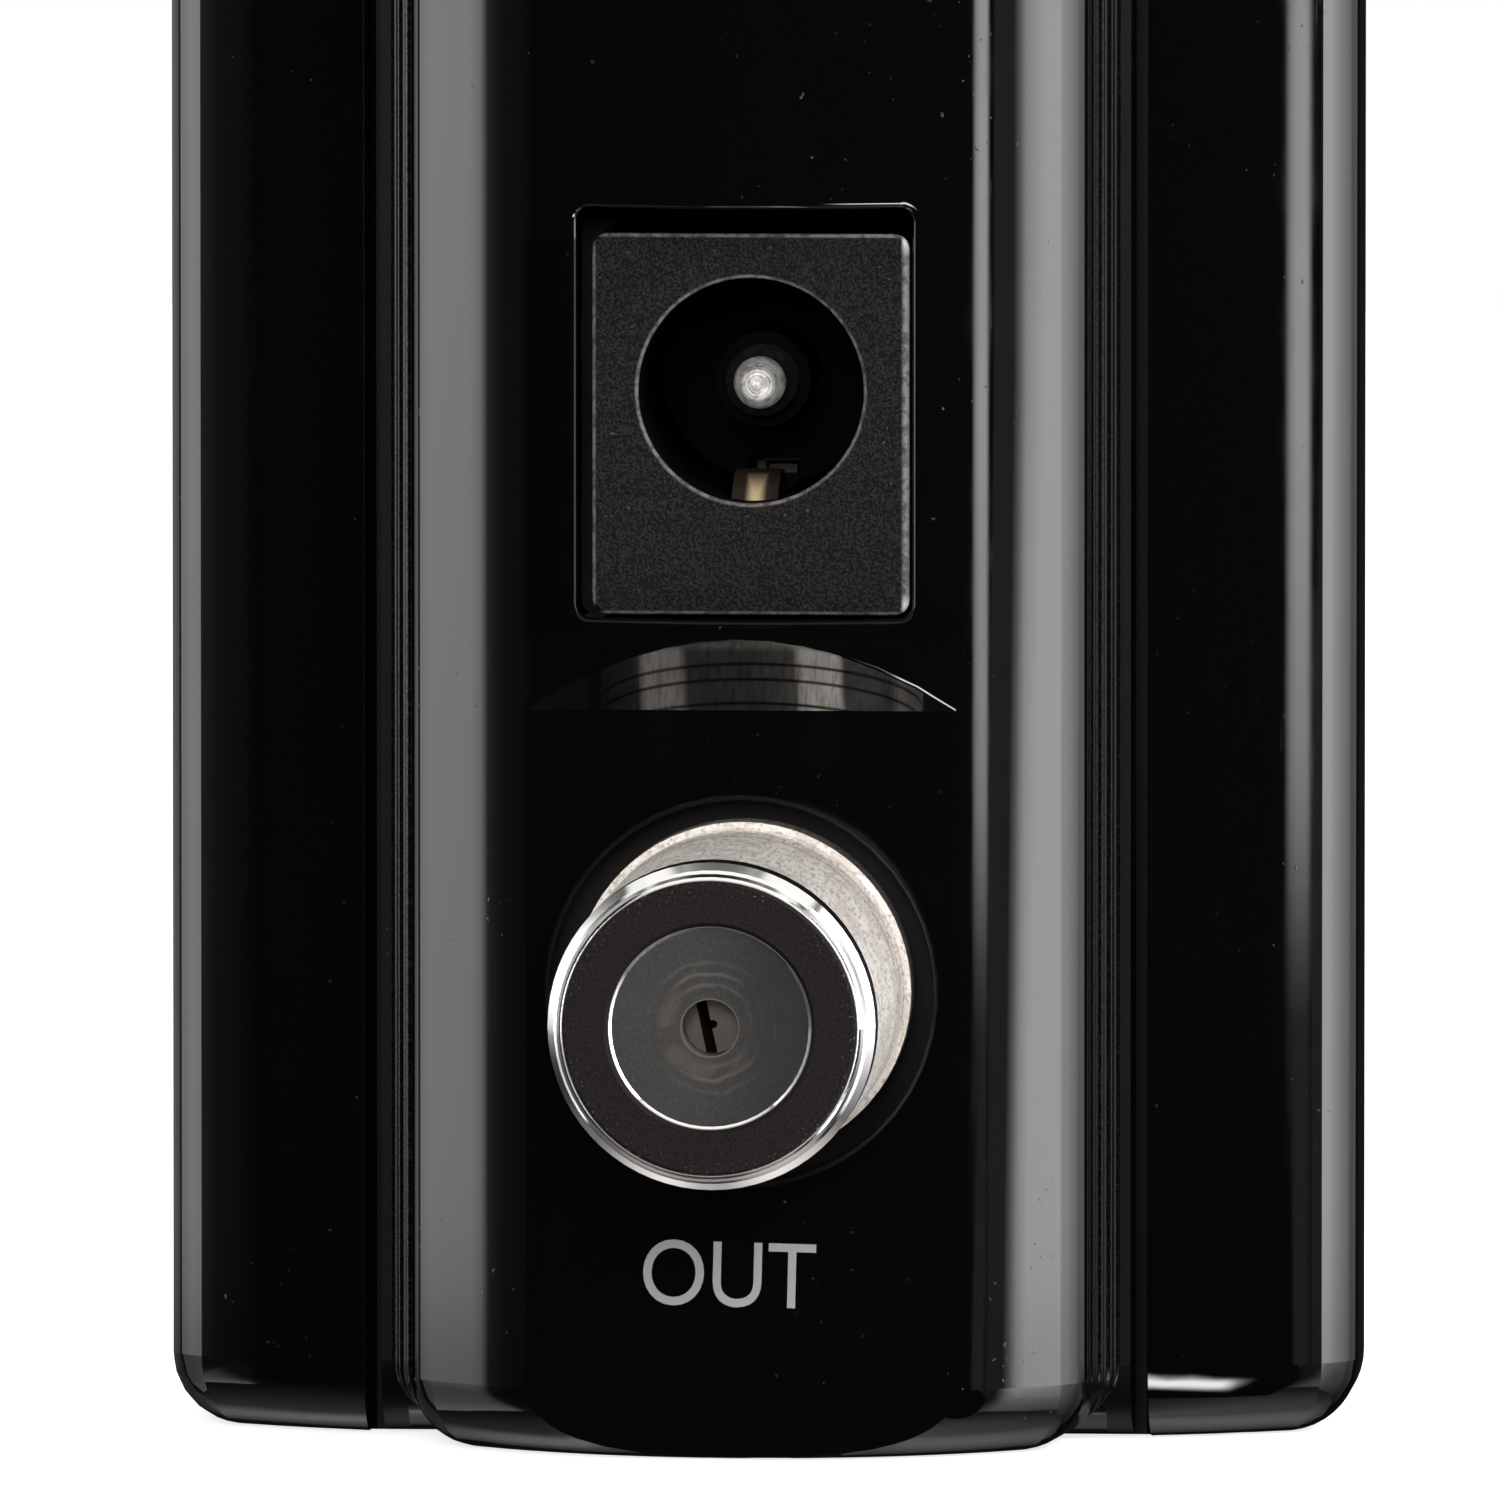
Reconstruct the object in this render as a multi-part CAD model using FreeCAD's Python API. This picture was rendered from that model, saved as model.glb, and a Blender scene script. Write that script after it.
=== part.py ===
import FreeCAD, Part
import math
import os

# Indoor radio antenna: a slim upright bar, with its sockets low on the back.
# Millimetres. +Z is up, the socket side faces -Y, +X is to its right.
# The origin is on the flat bottom face, under the middle of the bar.

V = FreeCAD.Vector

# Whole bar
body_width = 34.0
body_depth = 19.0
body_height = 225.0
wall = 1.6
end_radius = 2.1
side_edge_radius = 2.2
front_edge_radius = 3.0
front_crown_radius = 60.0
least_inner_radius = 0.3

# Back surface: two convex wings beside a raised spine
wing_width = 5.8
seam_gap = 0.5
flange_strip = 0.7
spine_rise = 7.3
spine_crown_radius = 13.2
spine_shoulder_radius = 2.1
spine_flank_slope = 84.0
spine_end_radius = 2.0
wing_radius = 14.9
wing_start_slope = 12.8

# Recessed flat round the aerial socket, with a sloping ramp above it
flat_depth = 1.5
flat_above_hole = 2.55
ramp_run = 2.1
recess_edge_radius = 0.15
thick_wall_overlap = 0.3

# Split lines of the housing
flange_thickness = 2.5
flange_relief = 0.1
ledge_thickness = 1.6
parting_offset = 5.2

# Power socket
jack_width = 9.0
jack_height = 10.8
jack_recess = 1.2
jack_side_shift = 0.3
jack_left_gap = 0.4
jack_right_gap = 0.08
jack_foot_gap = 0.08
jack_top_gap = 0.75
jack_above_ramp = 0.55
jack_corner_radius = 0.45
jack_face_edge = 0.12
jack_bore_radius = 3.2
jack_bore_depth = 9.5
jack_bore_below_top = 4.45
jack_plinth_radius = 1.35
jack_plinth_depth = 5.2
jack_pin_radius = 1.0
jack_pin_root = 1.0
jack_pin_tip_depth = 2.6
jack_pin_tip_radius = 0.35
jack_pin_tip_round = 0.3
jack_pin_neck_radius = 0.74
jack_pin_neck_length = 0.9
jack_pin_neck_taper = 0.35
jack_window_corner = 0.4
jack_window_edge = 0.2
jack_spring_width = 1.3
jack_spring_thickness = 0.3
jack_spring_start = 1.4
jack_spring_bow_length = 4.4
jack_spring_bow_height = 0.75
jack_tag_length = 3.0

# Aerial socket
aerial_axis_height = 13.3
aerial_hole_gap = 0.85
aerial_hole_edge = 0.15
aerial_barrel_radius = 4.6
aerial_barrel_reach = 12.3
aerial_lip_width = 0.55
aerial_lip_length = 0.8
aerial_lip_first_groove = 0.12
aerial_lip_crest = 0.28
aerial_lip_second_groove = 0.36
aerial_lip_swell = 0.48
aerial_lip_groove = 0.08
aerial_insulator_radius = 2.77
aerial_inner_chamfer = 0.2
aerial_centre_hole_radius = 0.8
aerial_contact_radius = 1.15
aerial_contact_bore = 0.12
aerial_contact_setback = 1.5
aerial_slit_width = 0.3
aerial_slit_length = 6.0
aerial_slit_shift = -0.2
aerial_slit_turn = 12.0
aerial_shoulder_overlap = 0.45
aerial_shoulder_length = 1.5
aerial_shoulder_gap = 0.3
aerial_collar_width = 0.2
aerial_collar_length = 1.5
aerial_base_side = 10.0
aerial_base_corner = 1.0

# Circuit board and its copper
board_thickness = 1.6
board_front_gap = 1.6
board_end_gap = 1.8
board_edge_margin = 0.2
pin_clearance = 0.1
tail_length = 0.9
tail_side = 0.8
copper_thickness = 0.1
radiator_trace = 2.5
radiator_edge_margin = 0.4
radiator_gap = 5.0
radiator_top_margin = 7.6
lower_radiator_length = 27.0

# Parts on the board
can_hook_gap = 0.9
can_length = 15.0
can_depth = 3.0
can_wall = 0.3
can_above_screw = 7.0
chip_side = 4.0
chip_thickness = 1.0
chip_lead_length = 0.8
chip_lead_width = 0.4
chip_lead_thickness = 0.2
component_length = 1.6
component_width = 0.8
component_thickness = 0.5
component_inset = 1.7
supply_component_x = 5.0
supply_component_rise = 3.2
balun_width = 7.0
balun_length = 6.0
balun_depth = 3.6
balun_hole_radius = 0.75
balun_hole_spacing = 3.4
balun_gap = 6.0
winding_radius = 0.3
winding_end = 0.9
winding_spread = 1.2
feed_cable_radius = 0.9
feed_core_radius = 0.3
feed_bare_end = 2.0
feed_end_gap = 0.2
feed_cable_x = 4.0
capacitor_radius = 3.15
capacitor_length = 5.4
capacitor_rim = 0.4
capacitor_base_side = 6.6
capacitor_base_height = 0.5
capacitor_ledge_gap = 1.2
capacitor_gap = 1.1
regulator_width = 4.5
regulator_length = 4.0
regulator_thickness = 1.5
regulator_lead_length = 1.2
regulator_lead_width = 0.5
regulator_lead_thickness = 0.4
regulator_lead_pitch = 1.5
choke_radius = 2.0
choke_neck_radius = 1.7
choke_depth = 3.0
choke_flange = 0.6
choke_x = 4.9

# Supply lamp and its light guide
led_length = 3.2
led_width = 1.6
led_depth = 0.9
led_above_can_foot = 8.0
light_guide_radius = 1.2
light_guide_flange_radius = 2.0
light_guide_flange_length = 0.4
light_guide_clearance = 0.05

# Fixings
screw_radius = 1.1
screw_length = 5.5
screw_head_radius = 2.1
screw_head_height = 1.3
screw_head_edge = 0.5
screw_clearance = 0.05
screw_tip_room = 0.5
screw_slot_width = 0.6
screw_slot_reach = 1.3
screw_gap = 1.5
upper_screw_margin = 20.0
boss_radius = 2.6
boss_clearance = 0.3
bridge_height = 7.0
post_length = 4.0
post_end_margin = 1.0
rail_gap = 0.3
rail_width = 1.0
hook_length = 5.0
hook_thickness = 1.1
hook_barb = 0.8
hook_bite = 0.5
hook_gap = 0.1
hook_spacing = 20.0

# Ballast in the foot of the bar
ballast_depth = 3.4
ballast_length = 68.0
ballast_gap = 0.3
ballast_back_gap = 0.1
fence_thickness = 0.8
fence_board_gap = 0.2
stop_thickness = 1.0

# Levels from back to front
half_width = body_width / 2
crown_y = -body_depth / 2
front_y = body_depth / 2
flat_y = crown_y + flat_depth
seam_y = crown_y + spine_rise
ledge_y = seam_y + flange_thickness
ledge_front_y = ledge_y + ledge_thickness
parting_y = seam_y + parting_offset
board_front_y = front_y - wall - board_front_gap
board_back_y = board_front_y - board_thickness
jack_face_y = crown_y + jack_recess
aerial_face_y = flat_y - aerial_barrel_reach
contact_tip_y = aerial_face_y + aerial_contact_setback
shoulder_y = flat_y + wall + aerial_shoulder_gap
shoulder_front_y = shoulder_y + aerial_shoulder_length
ballast_back_y = ledge_front_y + ballast_back_gap

# Widths from the wings inwards to the spine, and from there outwards
frame_edge_x = half_width - wing_width
seam_centre = frame_edge_x - seam_gap / 2
cover_half_width = frame_edge_x - seam_gap
spine_half_width = cover_half_width - flange_strip
spine_inner_x = spine_half_width - wall
hook_outer_x = spine_inner_x + hook_bite
hook_inner_x = hook_outer_x - hook_thickness
can_half_width = hook_inner_x - can_hook_gap
ledge_window_x = hook_outer_x + hook_gap
capacitor_x = ledge_window_x - capacitor_ledge_gap - capacitor_base_side / 2
rail_inner_x = ledge_window_x + rail_gap
radiator_half_width = rail_inner_x - radiator_edge_margin
board_half_width = rail_inner_x + rail_width + board_edge_margin
fence_inner_x = board_half_width + fence_board_gap
fence_outer_x = fence_inner_x + fence_thickness
ballast_inner_x = fence_outer_x + ballast_gap
ballast_outer_x = half_width - wall - ballast_gap
jack_left_x = jack_side_shift - jack_width / 2
jack_right_x = jack_side_shift + jack_width / 2
jack_window_left_x = jack_left_x - jack_left_gap
jack_window_right_x = jack_right_x + jack_right_gap

# Heights from the foot upwards
board_foot_z = wall + board_end_gap
board_top_z = body_height - wall - board_end_gap
aerial_hole_radius = aerial_barrel_radius + aerial_hole_gap
flat_top_z = aerial_axis_height + aerial_hole_radius + flat_above_hole
ramp_top_z = flat_top_z + ramp_run
jack_window_floor = ramp_top_z + jack_above_ramp
jack_window_height = jack_foot_gap + jack_height + jack_top_gap
jack_foot_z = jack_window_floor + jack_foot_gap
jack_top_z = jack_foot_z + jack_height
jack_axis_z = jack_top_z - jack_bore_below_top
choke_z = (aerial_axis_height + aerial_base_side / 2 + jack_foot_z) / 2
capacitor_z = jack_top_z + capacitor_gap + capacitor_base_side / 2
lower_screw_z = capacitor_z + capacitor_base_side / 2 + screw_gap + boss_radius + boss_clearance
can_foot_z = lower_screw_z + can_above_screw
can_top_z = can_foot_z + can_length
led_z = can_foot_z + led_above_can_foot
lower_radiator_z = can_top_z + radiator_gap
balun_z = lower_radiator_z + lower_radiator_length + balun_gap
upper_radiator_z = balun_z + balun_length + balun_gap
upper_radiator_length = board_top_z - radiator_top_margin - upper_radiator_z
middle_screw_z = upper_radiator_z + radiator_trace + screw_gap + boss_radius + boss_clearance
upper_screw_z = body_height - upper_screw_margin
screw_heights = [lower_screw_z, middle_screw_z, upper_screw_z]

# Centres of the round stretches of the outline
wing_axis_x = seam_centre - wing_radius * math.sin(math.radians(wing_start_slope))
wing_axis_y = seam_y + wing_radius * math.cos(math.radians(wing_start_slope))
spine_axis_y = crown_y + spine_crown_radius
front_axis_y = front_y - front_crown_radius

# How far a cutter runs past what it cuts, how closely an edge is matched,
# and how much of the room beside an end rounding it may take
overrun = 5.0
match = 0.01
rounding_share = 0.95


def box(x0, x1, y0, y1, z0, z1):
    return Part.makeBox(x1 - x0, y1 - y0, z1 - z0, V(x0, y0, z0))


def rod(radius, x, z, y0, y1):
    """A round bar along Y."""
    return Part.makeCylinder(radius, y1 - y0, V(x, y0, z), V(0, 1, 0))


def turned(points, x, z):
    """A solid turned about a line along Y. Points are (radius, y)."""
    wire = Part.makePolygon([V(x + r, y, z) for r, y in points + points[:1]])
    return Part.Face(wire).revolve(V(x, 0, z), V(0, 1, 0), 360)


def on_board(x0, x1, z0, z1, thickness):
    """A block that stands on the back face of the circuit board."""
    return box(x0, x1, board_back_y - thickness, board_back_y, z0, z1)


def joined(shapes):
    return shapes[0].multiFuse(shapes[1:]).removeSplitter()


def both_sides(shape):
    return [shape, shape.mirror(V(0, 0, 0), V(1, 0, 0))]


def filled_outline(edges):
    return Part.Face(Part.Wire(Part.sortEdges([edge.toShape() for edge in edges])[0]))


def bar_outline(inset):
    """The bar's cross-section without its spine, drawn in by inset."""
    side_x = half_width - inset
    wing = wing_radius - inset
    back_y = wing_axis_y - wing
    front = front_crown_radius - inset
    edge = max(side_edge_radius - inset, least_inner_radius)
    nose = max(front_edge_radius - inset, least_inner_radius)
    edge_x = side_x - edge
    edge_y = wing_axis_y - math.sqrt((wing - edge) ** 2 - (edge_x - wing_axis_x) ** 2)
    nose_x = side_x - nose
    nose_y = front_axis_y + math.sqrt((front - nose) ** 2 - nose_x**2)
    meet = math.asin((edge_x - wing_axis_x) / (wing - edge))
    turn = math.acos(nose_x / (front - nose))
    half_turn = math.pi / 2

    def wing_point(side, angle):
        x = wing_axis_x + wing * math.sin(angle)
        return V(side * x, wing_axis_y - wing * math.cos(angle))

    def edge_point(side, angle):
        x = edge_x + edge * math.sin(angle)
        return V(side * x, edge_y - edge * math.cos(angle))

    def nose_point(side, angle):
        x = nose_x + nose * math.cos(angle)
        return V(side * x, nose_y + nose * math.sin(angle))

    edges = [
        Part.LineSegment(V(-wing_axis_x, back_y), V(wing_axis_x, back_y)),
        Part.Arc(nose_point(1, turn), V(0, front_y - inset), nose_point(-1, turn)),
    ]
    for side in (1, -1):
        wing_angles = (0, meet / 2, meet)
        edge_angles = (meet, (meet + half_turn) / 2, half_turn)
        nose_angles = (0, turn / 2, turn)
        edges.append(Part.Arc(*[wing_point(side, angle) for angle in wing_angles]))
        edges.append(Part.Arc(*[edge_point(side, angle) for angle in edge_angles]))
        edges.append(Part.LineSegment(edge_point(side, half_turn), nose_point(side, 0)))
        edges.append(Part.Arc(*[nose_point(side, angle) for angle in nose_angles]))
    return filled_outline(edges)


def bar_solid():
    """The bar without its spine, rounded all round at both ends."""
    solid = bar_outline(0).extrude(V(0, 0, body_height))
    ends = [edge for edge in solid.Edges if edge.BoundBox.ZLength < match]
    return solid.makeFillet(min(end_radius, side_edge_radius * rounding_share), ends)


def crown_depth(x, radius):
    """Where the round crown of the spine lies in Y, at a distance x from its middle."""
    return spine_axis_y - math.sqrt(radius**2 - x**2)


def spine_solid():
    """The raised spine: a round crown on steep flanks, with rounded ends."""
    flank = math.radians(spine_flank_slope)
    flank_x = spine_half_width - spine_rise / 2 / math.tan(flank)
    axis_radius = spine_crown_radius - spine_shoulder_radius
    start = math.asin((flank_x - spine_shoulder_radius * math.sin(flank)) / axis_radius)
    axis_x = axis_radius * math.sin(start)
    axis_y = spine_axis_y - axis_radius * math.cos(start)

    def shoulder_point(side, angle):
        x = axis_x + spine_shoulder_radius * math.sin(angle)
        return V(side * x, axis_y - spine_shoulder_radius * math.cos(angle))

    def shoulder(side):
        angles = [start, (start + flank) / 2, flank]
        return Part.Arc(*[shoulder_point(side, angle) for angle in angles])

    flank_top = shoulder_point(1, flank)
    foot_x = flank_top.x + (ledge_y - flank_top.y) / math.tan(flank)
    edges = [
        Part.LineSegment(V(-foot_x, ledge_y), V(foot_x, ledge_y)),
        Part.LineSegment(V(foot_x, ledge_y), flank_top),
        shoulder(1),
        Part.Arc(shoulder_point(1, start), V(0, crown_y), shoulder_point(-1, start)),
        shoulder(-1),
        Part.LineSegment(shoulder_point(-1, flank), V(-foot_x, ledge_y)),
    ]
    solid = filled_outline(edges).extrude(V(0, 0, body_height))
    ends = []
    for edge in solid.Edges:
        if edge.BoundBox.ZLength < match and edge.BoundBox.YMin < seam_y:
            ends.append(edge)
    return solid.makeFillet(min(spine_end_radius, spine_shoulder_radius * rounding_share), ends)


def spine_hollow():
    """The space inside the spine, kept one wall thick under the recessed flat."""
    radius = spine_crown_radius - wall
    side_y = crown_depth(spine_inner_x, radius)
    top_y = crown_depth(0, radius)
    edges = [
        Part.LineSegment(V(-spine_inner_x, ledge_y), V(spine_inner_x, ledge_y)),
        Part.LineSegment(V(spine_inner_x, ledge_y), V(spine_inner_x, side_y)),
        Part.Arc(V(spine_inner_x, side_y), V(0, top_y), V(-spine_inner_x, side_y)),
        Part.LineSegment(V(-spine_inner_x, side_y), V(-spine_inner_x, ledge_y)),
    ]
    hollow = filled_outline(edges).extrude(V(0, 0, body_height - 2 * wall))
    hollow.translate(V(0, 0, wall))
    thick_top = ramp_top_z + thick_wall_overlap
    thick_wall = box(-half_width, half_width, crown_y, flat_y + wall, 0, thick_top)
    return hollow.cut(thick_wall)


def recess_cutter():
    """Everything in front of the recessed flat and its ramp."""
    reach = 3.0
    outside_y = flat_y - reach * flat_depth
    outside_z = flat_top_z + reach * ramp_run
    points = [
        V(-half_width, flat_y, -overrun),
        V(-half_width, flat_y, flat_top_z),
        V(-half_width, outside_y, outside_z),
        V(-half_width, outside_y, -overrun),
        V(-half_width, flat_y, -overrun),
    ]
    return Part.Face(Part.makePolygon(points)).extrude(V(body_width, 0, 0))


def jack_window():
    """The square-cut window for the power socket, with small round corners."""
    top_z = jack_window_floor + jack_window_height
    block = box(
        jack_window_left_x,
        jack_window_right_x,
        crown_y - overrun,
        ledge_y,
        jack_window_floor,
        top_z,
    )
    corners = [edge for edge in block.Edges if edge.BoundBox.YLength > match]
    return block.makeFillet(jack_window_corner, corners)


def flange_solid():
    """The thin flange beside the spine, which the seams run along."""
    flange = box(
        -cover_half_width,
        cover_half_width,
        seam_y,
        ledge_y,
        flange_relief,
        body_height - flange_relief,
    )
    ends = []
    for edge in flange.Edges:
        if edge.BoundBox.YMax < seam_y + match and edge.BoundBox.ZLength < match:
            ends.append(edge)
    return flange.makeFillet(min(end_radius, flange_thickness * rounding_share), ends)


def round_window_rim(cover):
    """Rounds the outer rim of the power socket's window."""
    top_z = jack_window_floor + jack_window_height
    deepest_y = crown_depth(jack_window_right_x, spine_crown_radius)
    rim = []
    for edge in cover.Edges:
        bounds = edge.BoundBox
        inside_x = bounds.XMin > jack_window_left_x - match and bounds.XMax < jack_window_right_x + match
        inside_z = bounds.ZMin > jack_window_floor - match and bounds.ZMax < top_z + match
        if inside_x and inside_z and bounds.YMax < deepest_y + match and bounds.YLength < flat_depth:
            rim.append(edge)
    return cover.makeFillet(jack_window_edge, rim)


def round_recess_edge(cover):
    """Softens the line where the ramp meets the crown."""
    edges = []
    for edge in cover.Edges:
        bounds = edge.BoundBox
        on_ramp = bounds.ZMin > flat_top_z - match and bounds.ZMax < ramp_top_z + match
        if on_ramp and bounds.YMin < crown_y + match and bounds.XLength > jack_width / 2:
            edges.append(edge)
    return cover.makeFillet(recess_edge_radius, edges)


def round_aerial_hole(cover):
    """Softens the rim of the aerial socket's hole."""
    rim = []
    for edge in cover.Edges:
        bounds = edge.BoundBox
        on_flat = abs(bounds.YMin - flat_y) < match and bounds.YLength < match
        if on_flat and abs(bounds.XLength - 2 * aerial_hole_radius) < match:
            rim.append(edge)
    return cover.makeFillet(aerial_hole_edge, rim)


def ledge_windows():
    """The openings in the ledge, below, between and above its bridges: (foot, top)."""
    levels = [wall + ledge_thickness]
    for height in screw_heights:
        levels += [height - bridge_height / 2, height + bridge_height / 2]
    levels.append(body_height - wall - ledge_thickness)
    return list(zip(levels[0::2], levels[1::2]))


def make_hooks():
    """Snap hooks that reach through the ledge's windows, spread evenly along each."""
    hooks = []
    for foot, top in ledge_windows():
        count = int((top - foot) / hook_spacing)
        for step in range(count):
            height = foot + (top - foot) * (step + 1) / (count + 1)
            z0 = height - hook_length / 2
            z1 = height + hook_length / 2
            tip_y = ledge_front_y + hook_thickness
            barb_x = hook_outer_x + hook_barb
            stem = box(hook_inner_x, hook_outer_x, seam_y + hook_bite, tip_y, z0, z1)
            barb = box(hook_outer_x, barb_x, ledge_front_y + hook_gap / 2, tip_y, z0, z1)
            hooks += both_sides(stem.fuse(barb))
    return hooks


def make_spine_cover():
    """The cover between the two seams, snapped into the frame with hooks."""
    cover = flange_solid().fuse(spine_solid()).cut(spine_hollow())
    cover = cover.cut(recess_cutter()).cut(jack_window())
    hole = rod(aerial_hole_radius, 0, aerial_axis_height, crown_y - overrun, ledge_y)
    cover = cover.cut(hole)
    cover = round_window_rim(cover)
    cover = round_recess_edge(cover)
    cover = round_aerial_hole(cover)
    return joined([cover] + make_hooks())


bar = bar_solid()
bar_hollow = bar_outline(wall).extrude(V(0, 0, body_height - 2 * wall))
bar_hollow.translate(V(0, 0, wall))


def make_back_frame():
    """The wings and sides, with a ledge, bridges and board posts under the cover."""
    top_z = body_height + overrun
    behind = box(-half_width, half_width, seam_y - overrun, parting_y, -overrun, top_z)
    slot = box(-frame_edge_x, frame_edge_x, seam_y - overrun, ledge_y, -overrun, top_z)
    frame = bar.cut(bar_hollow).common(behind).cut(slot)
    ledge_x = frame_edge_x + wall
    ledge = box(-ledge_x, ledge_x, ledge_y, ledge_front_y, wall / 2, body_height - wall / 2)
    for foot, top in ledge_windows():
        window = box(-ledge_window_x, ledge_window_x, ledge_y - 1, ledge_front_y + 1, foot, top)
        ledge = ledge.cut(window)
    foot_post_z = board_foot_z + post_end_margin + post_length / 2
    top_post_z = board_top_z - post_end_margin - post_length / 2
    posts = []
    for height in [foot_post_z] + screw_heights + [top_post_z]:
        post = box(
            rail_inner_x,
            rail_inner_x + rail_width,
            ledge_y + ledge_thickness / 2,
            board_back_y,
            height - post_length / 2,
            height + post_length / 2,
        )
        posts += both_sides(post)
    frame = joined([frame, ledge] + posts)
    for height in screw_heights:
        frame = frame.cut(rod(screw_radius + screw_clearance, 0, height, ledge_y - 1, ledge_front_y + 1))
    return frame


def make_front_shell():
    """The front with its board rails, screw bosses and ballast pockets."""
    ahead = box(-half_width, half_width, parting_y, front_y, -overrun, body_height + overrun)
    shell = bar.cut(bar_hollow).common(ahead)
    inside = bar_outline(wall / 2).extrude(V(0, 0, body_height))
    ballast_top = wall + ballast_length
    stop_z = ballast_top + ballast_gap
    rail = box(
        rail_inner_x, rail_inner_x + rail_width, board_front_y, front_y, board_foot_z, board_top_z
    )
    fence = box(fence_inner_x, fence_outer_x, parting_y, front_y, wall / 2, stop_z)
    stop = box(
        fence_inner_x, half_width - wall / 2, parting_y, front_y, stop_z, stop_z + stop_thickness
    )
    fittings = both_sides(rail) + both_sides(fence) + both_sides(stop)
    for height in screw_heights:
        fittings.append(rod(boss_radius, 0, height, ledge_front_y, front_y))
    shell = shell.fuse(joined([fitting.common(inside) for fitting in fittings]))
    hole_end_y = ledge_y + screw_length + screw_tip_room
    for height in screw_heights:
        shell = shell.cut(rod(screw_radius, 0, height, ledge_front_y - 1, hole_end_y))
    guide_radius = light_guide_radius + light_guide_clearance
    shell = shell.cut(rod(guide_radius, 0, led_z, board_front_y, front_y + 1))
    return shell.removeSplitter()


def make_ballast_bars():
    """Two steel bars that weigh the foot down."""
    ballast_front_y = ballast_back_y + ballast_depth
    ballast_top = wall + ballast_length
    bar_piece = box(
        ballast_inner_x, ballast_outer_x, ballast_back_y, ballast_front_y, wall, ballast_top
    )
    return Part.makeCompound(both_sides(bar_piece))


# Where solder tails pass through the board: (x, z) of each
aerial_leg = aerial_base_side / 2 - tail_side
aerial_leg_places = [
    (x, aerial_axis_height + z) for x in (-aerial_leg, aerial_leg) for z in (-aerial_leg, aerial_leg)
]
pin_place = (jack_side_shift, jack_axis_z)
spring_place = (jack_side_shift, jack_axis_z - jack_bore_radius - jack_spring_thickness / 2)
tag_place = (jack_right_x - tail_side, jack_axis_z - jack_bore_radius / 2)


def square_rod(place, side, y0, y1):
    x, z = place
    return box(x - side / 2, x + side / 2, y0, y1, z - side / 2, z + side / 2)


def tail(place):
    """A square solder tail that goes through the board and out in front of it."""
    return square_rod(place, tail_side, board_back_y, board_front_y + tail_length)


def make_main_board():
    """The long circuit board, clamped between rails and posts."""
    board = box(
        -board_half_width, board_half_width, board_back_y, board_front_y, board_foot_z, board_top_z
    )
    y0 = board_back_y - 1
    y1 = board_front_y + 1
    for height in screw_heights:
        board = board.cut(rod(boss_radius + boss_clearance, 0, height, y0, y1))
    centre_place = (0, aerial_axis_height)
    for place in aerial_leg_places + [pin_place, spring_place, tag_place, centre_place]:
        board = board.cut(square_rod(place, tail_side + 2 * pin_clearance, y0, y1))
    return board


def make_radiator(foot_z, length):
    """One arm of the aerial: a copper loop on the back of the board."""
    outer_x = radiator_half_width
    inner_x = outer_x - radiator_trace
    outer = on_board(-outer_x, outer_x, foot_z, foot_z + length, copper_thickness)
    inner = on_board(
        -inner_x, inner_x, foot_z + radiator_trace, foot_z + length - radiator_trace, copper_thickness
    )
    return outer.cut(inner)


def make_jack_housing():
    """The moulded block of the power socket, with its bore and contact slots."""
    x = jack_side_shift
    bore_end_y = jack_face_y + jack_bore_depth
    root_y = bore_end_y + jack_pin_root
    block = box(jack_left_x, jack_right_x, jack_face_y, board_back_y, jack_foot_z, jack_top_z)
    corners = [edge for edge in block.Edges if edge.BoundBox.YLength > match]
    block = block.makeFillet(jack_corner_radius, corners)
    block = block.cut(rod(jack_bore_radius, x, jack_axis_z, jack_face_y - 1, bore_end_y))
    face_edges = [edge for edge in block.Edges if edge.BoundBox.YMax < jack_face_y + match]
    block = block.makeFillet(jack_face_edge, face_edges)
    plinth = rod(jack_plinth_radius, x, jack_axis_z, jack_face_y + jack_plinth_depth, root_y)
    block = block.fuse(plinth)
    block = block.cut(rod(jack_pin_radius, x, jack_axis_z, jack_face_y, root_y))
    block = block.cut(square_rod(pin_place, tail_side, bore_end_y, board_back_y + 1))
    half = jack_spring_width / 2 + pin_clearance
    slot_floor = jack_axis_z - jack_bore_radius - jack_spring_thickness - pin_clearance
    slot_top = jack_axis_z - jack_bore_radius + jack_spring_bow_height
    slot_y = jack_face_y + jack_spring_start - pin_clearance
    block = block.cut(box(x - half, x + half, slot_y, board_back_y + 1, slot_floor, slot_top))
    tag_y = board_back_y - jack_tag_length
    return block.cut(square_rod(tag_place, tail_side, tag_y, board_back_y + 1))


def make_jack_pin():
    """The centre pin with its rounded tip, turned neck and solder tail."""
    tip_y = jack_face_y + jack_pin_tip_depth
    neck_y = tip_y + jack_pin_tip_round
    neck_end_y = neck_y + jack_pin_neck_length
    full_y = neck_end_y + jack_pin_neck_taper
    root_y = jack_face_y + jack_bore_depth + jack_pin_root
    profile = [
        (0, tip_y),
        (jack_pin_tip_radius, tip_y),
        (jack_pin_neck_radius, neck_y),
        (jack_pin_neck_radius, neck_end_y),
        (jack_pin_radius, full_y),
        (jack_pin_radius, root_y),
        (0, root_y),
    ]
    pin = turned(profile, jack_side_shift, jack_axis_z)
    stem = square_rod(pin_place, tail_side, root_y, board_back_y)
    return joined([pin, stem, tail(pin_place)])


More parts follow.
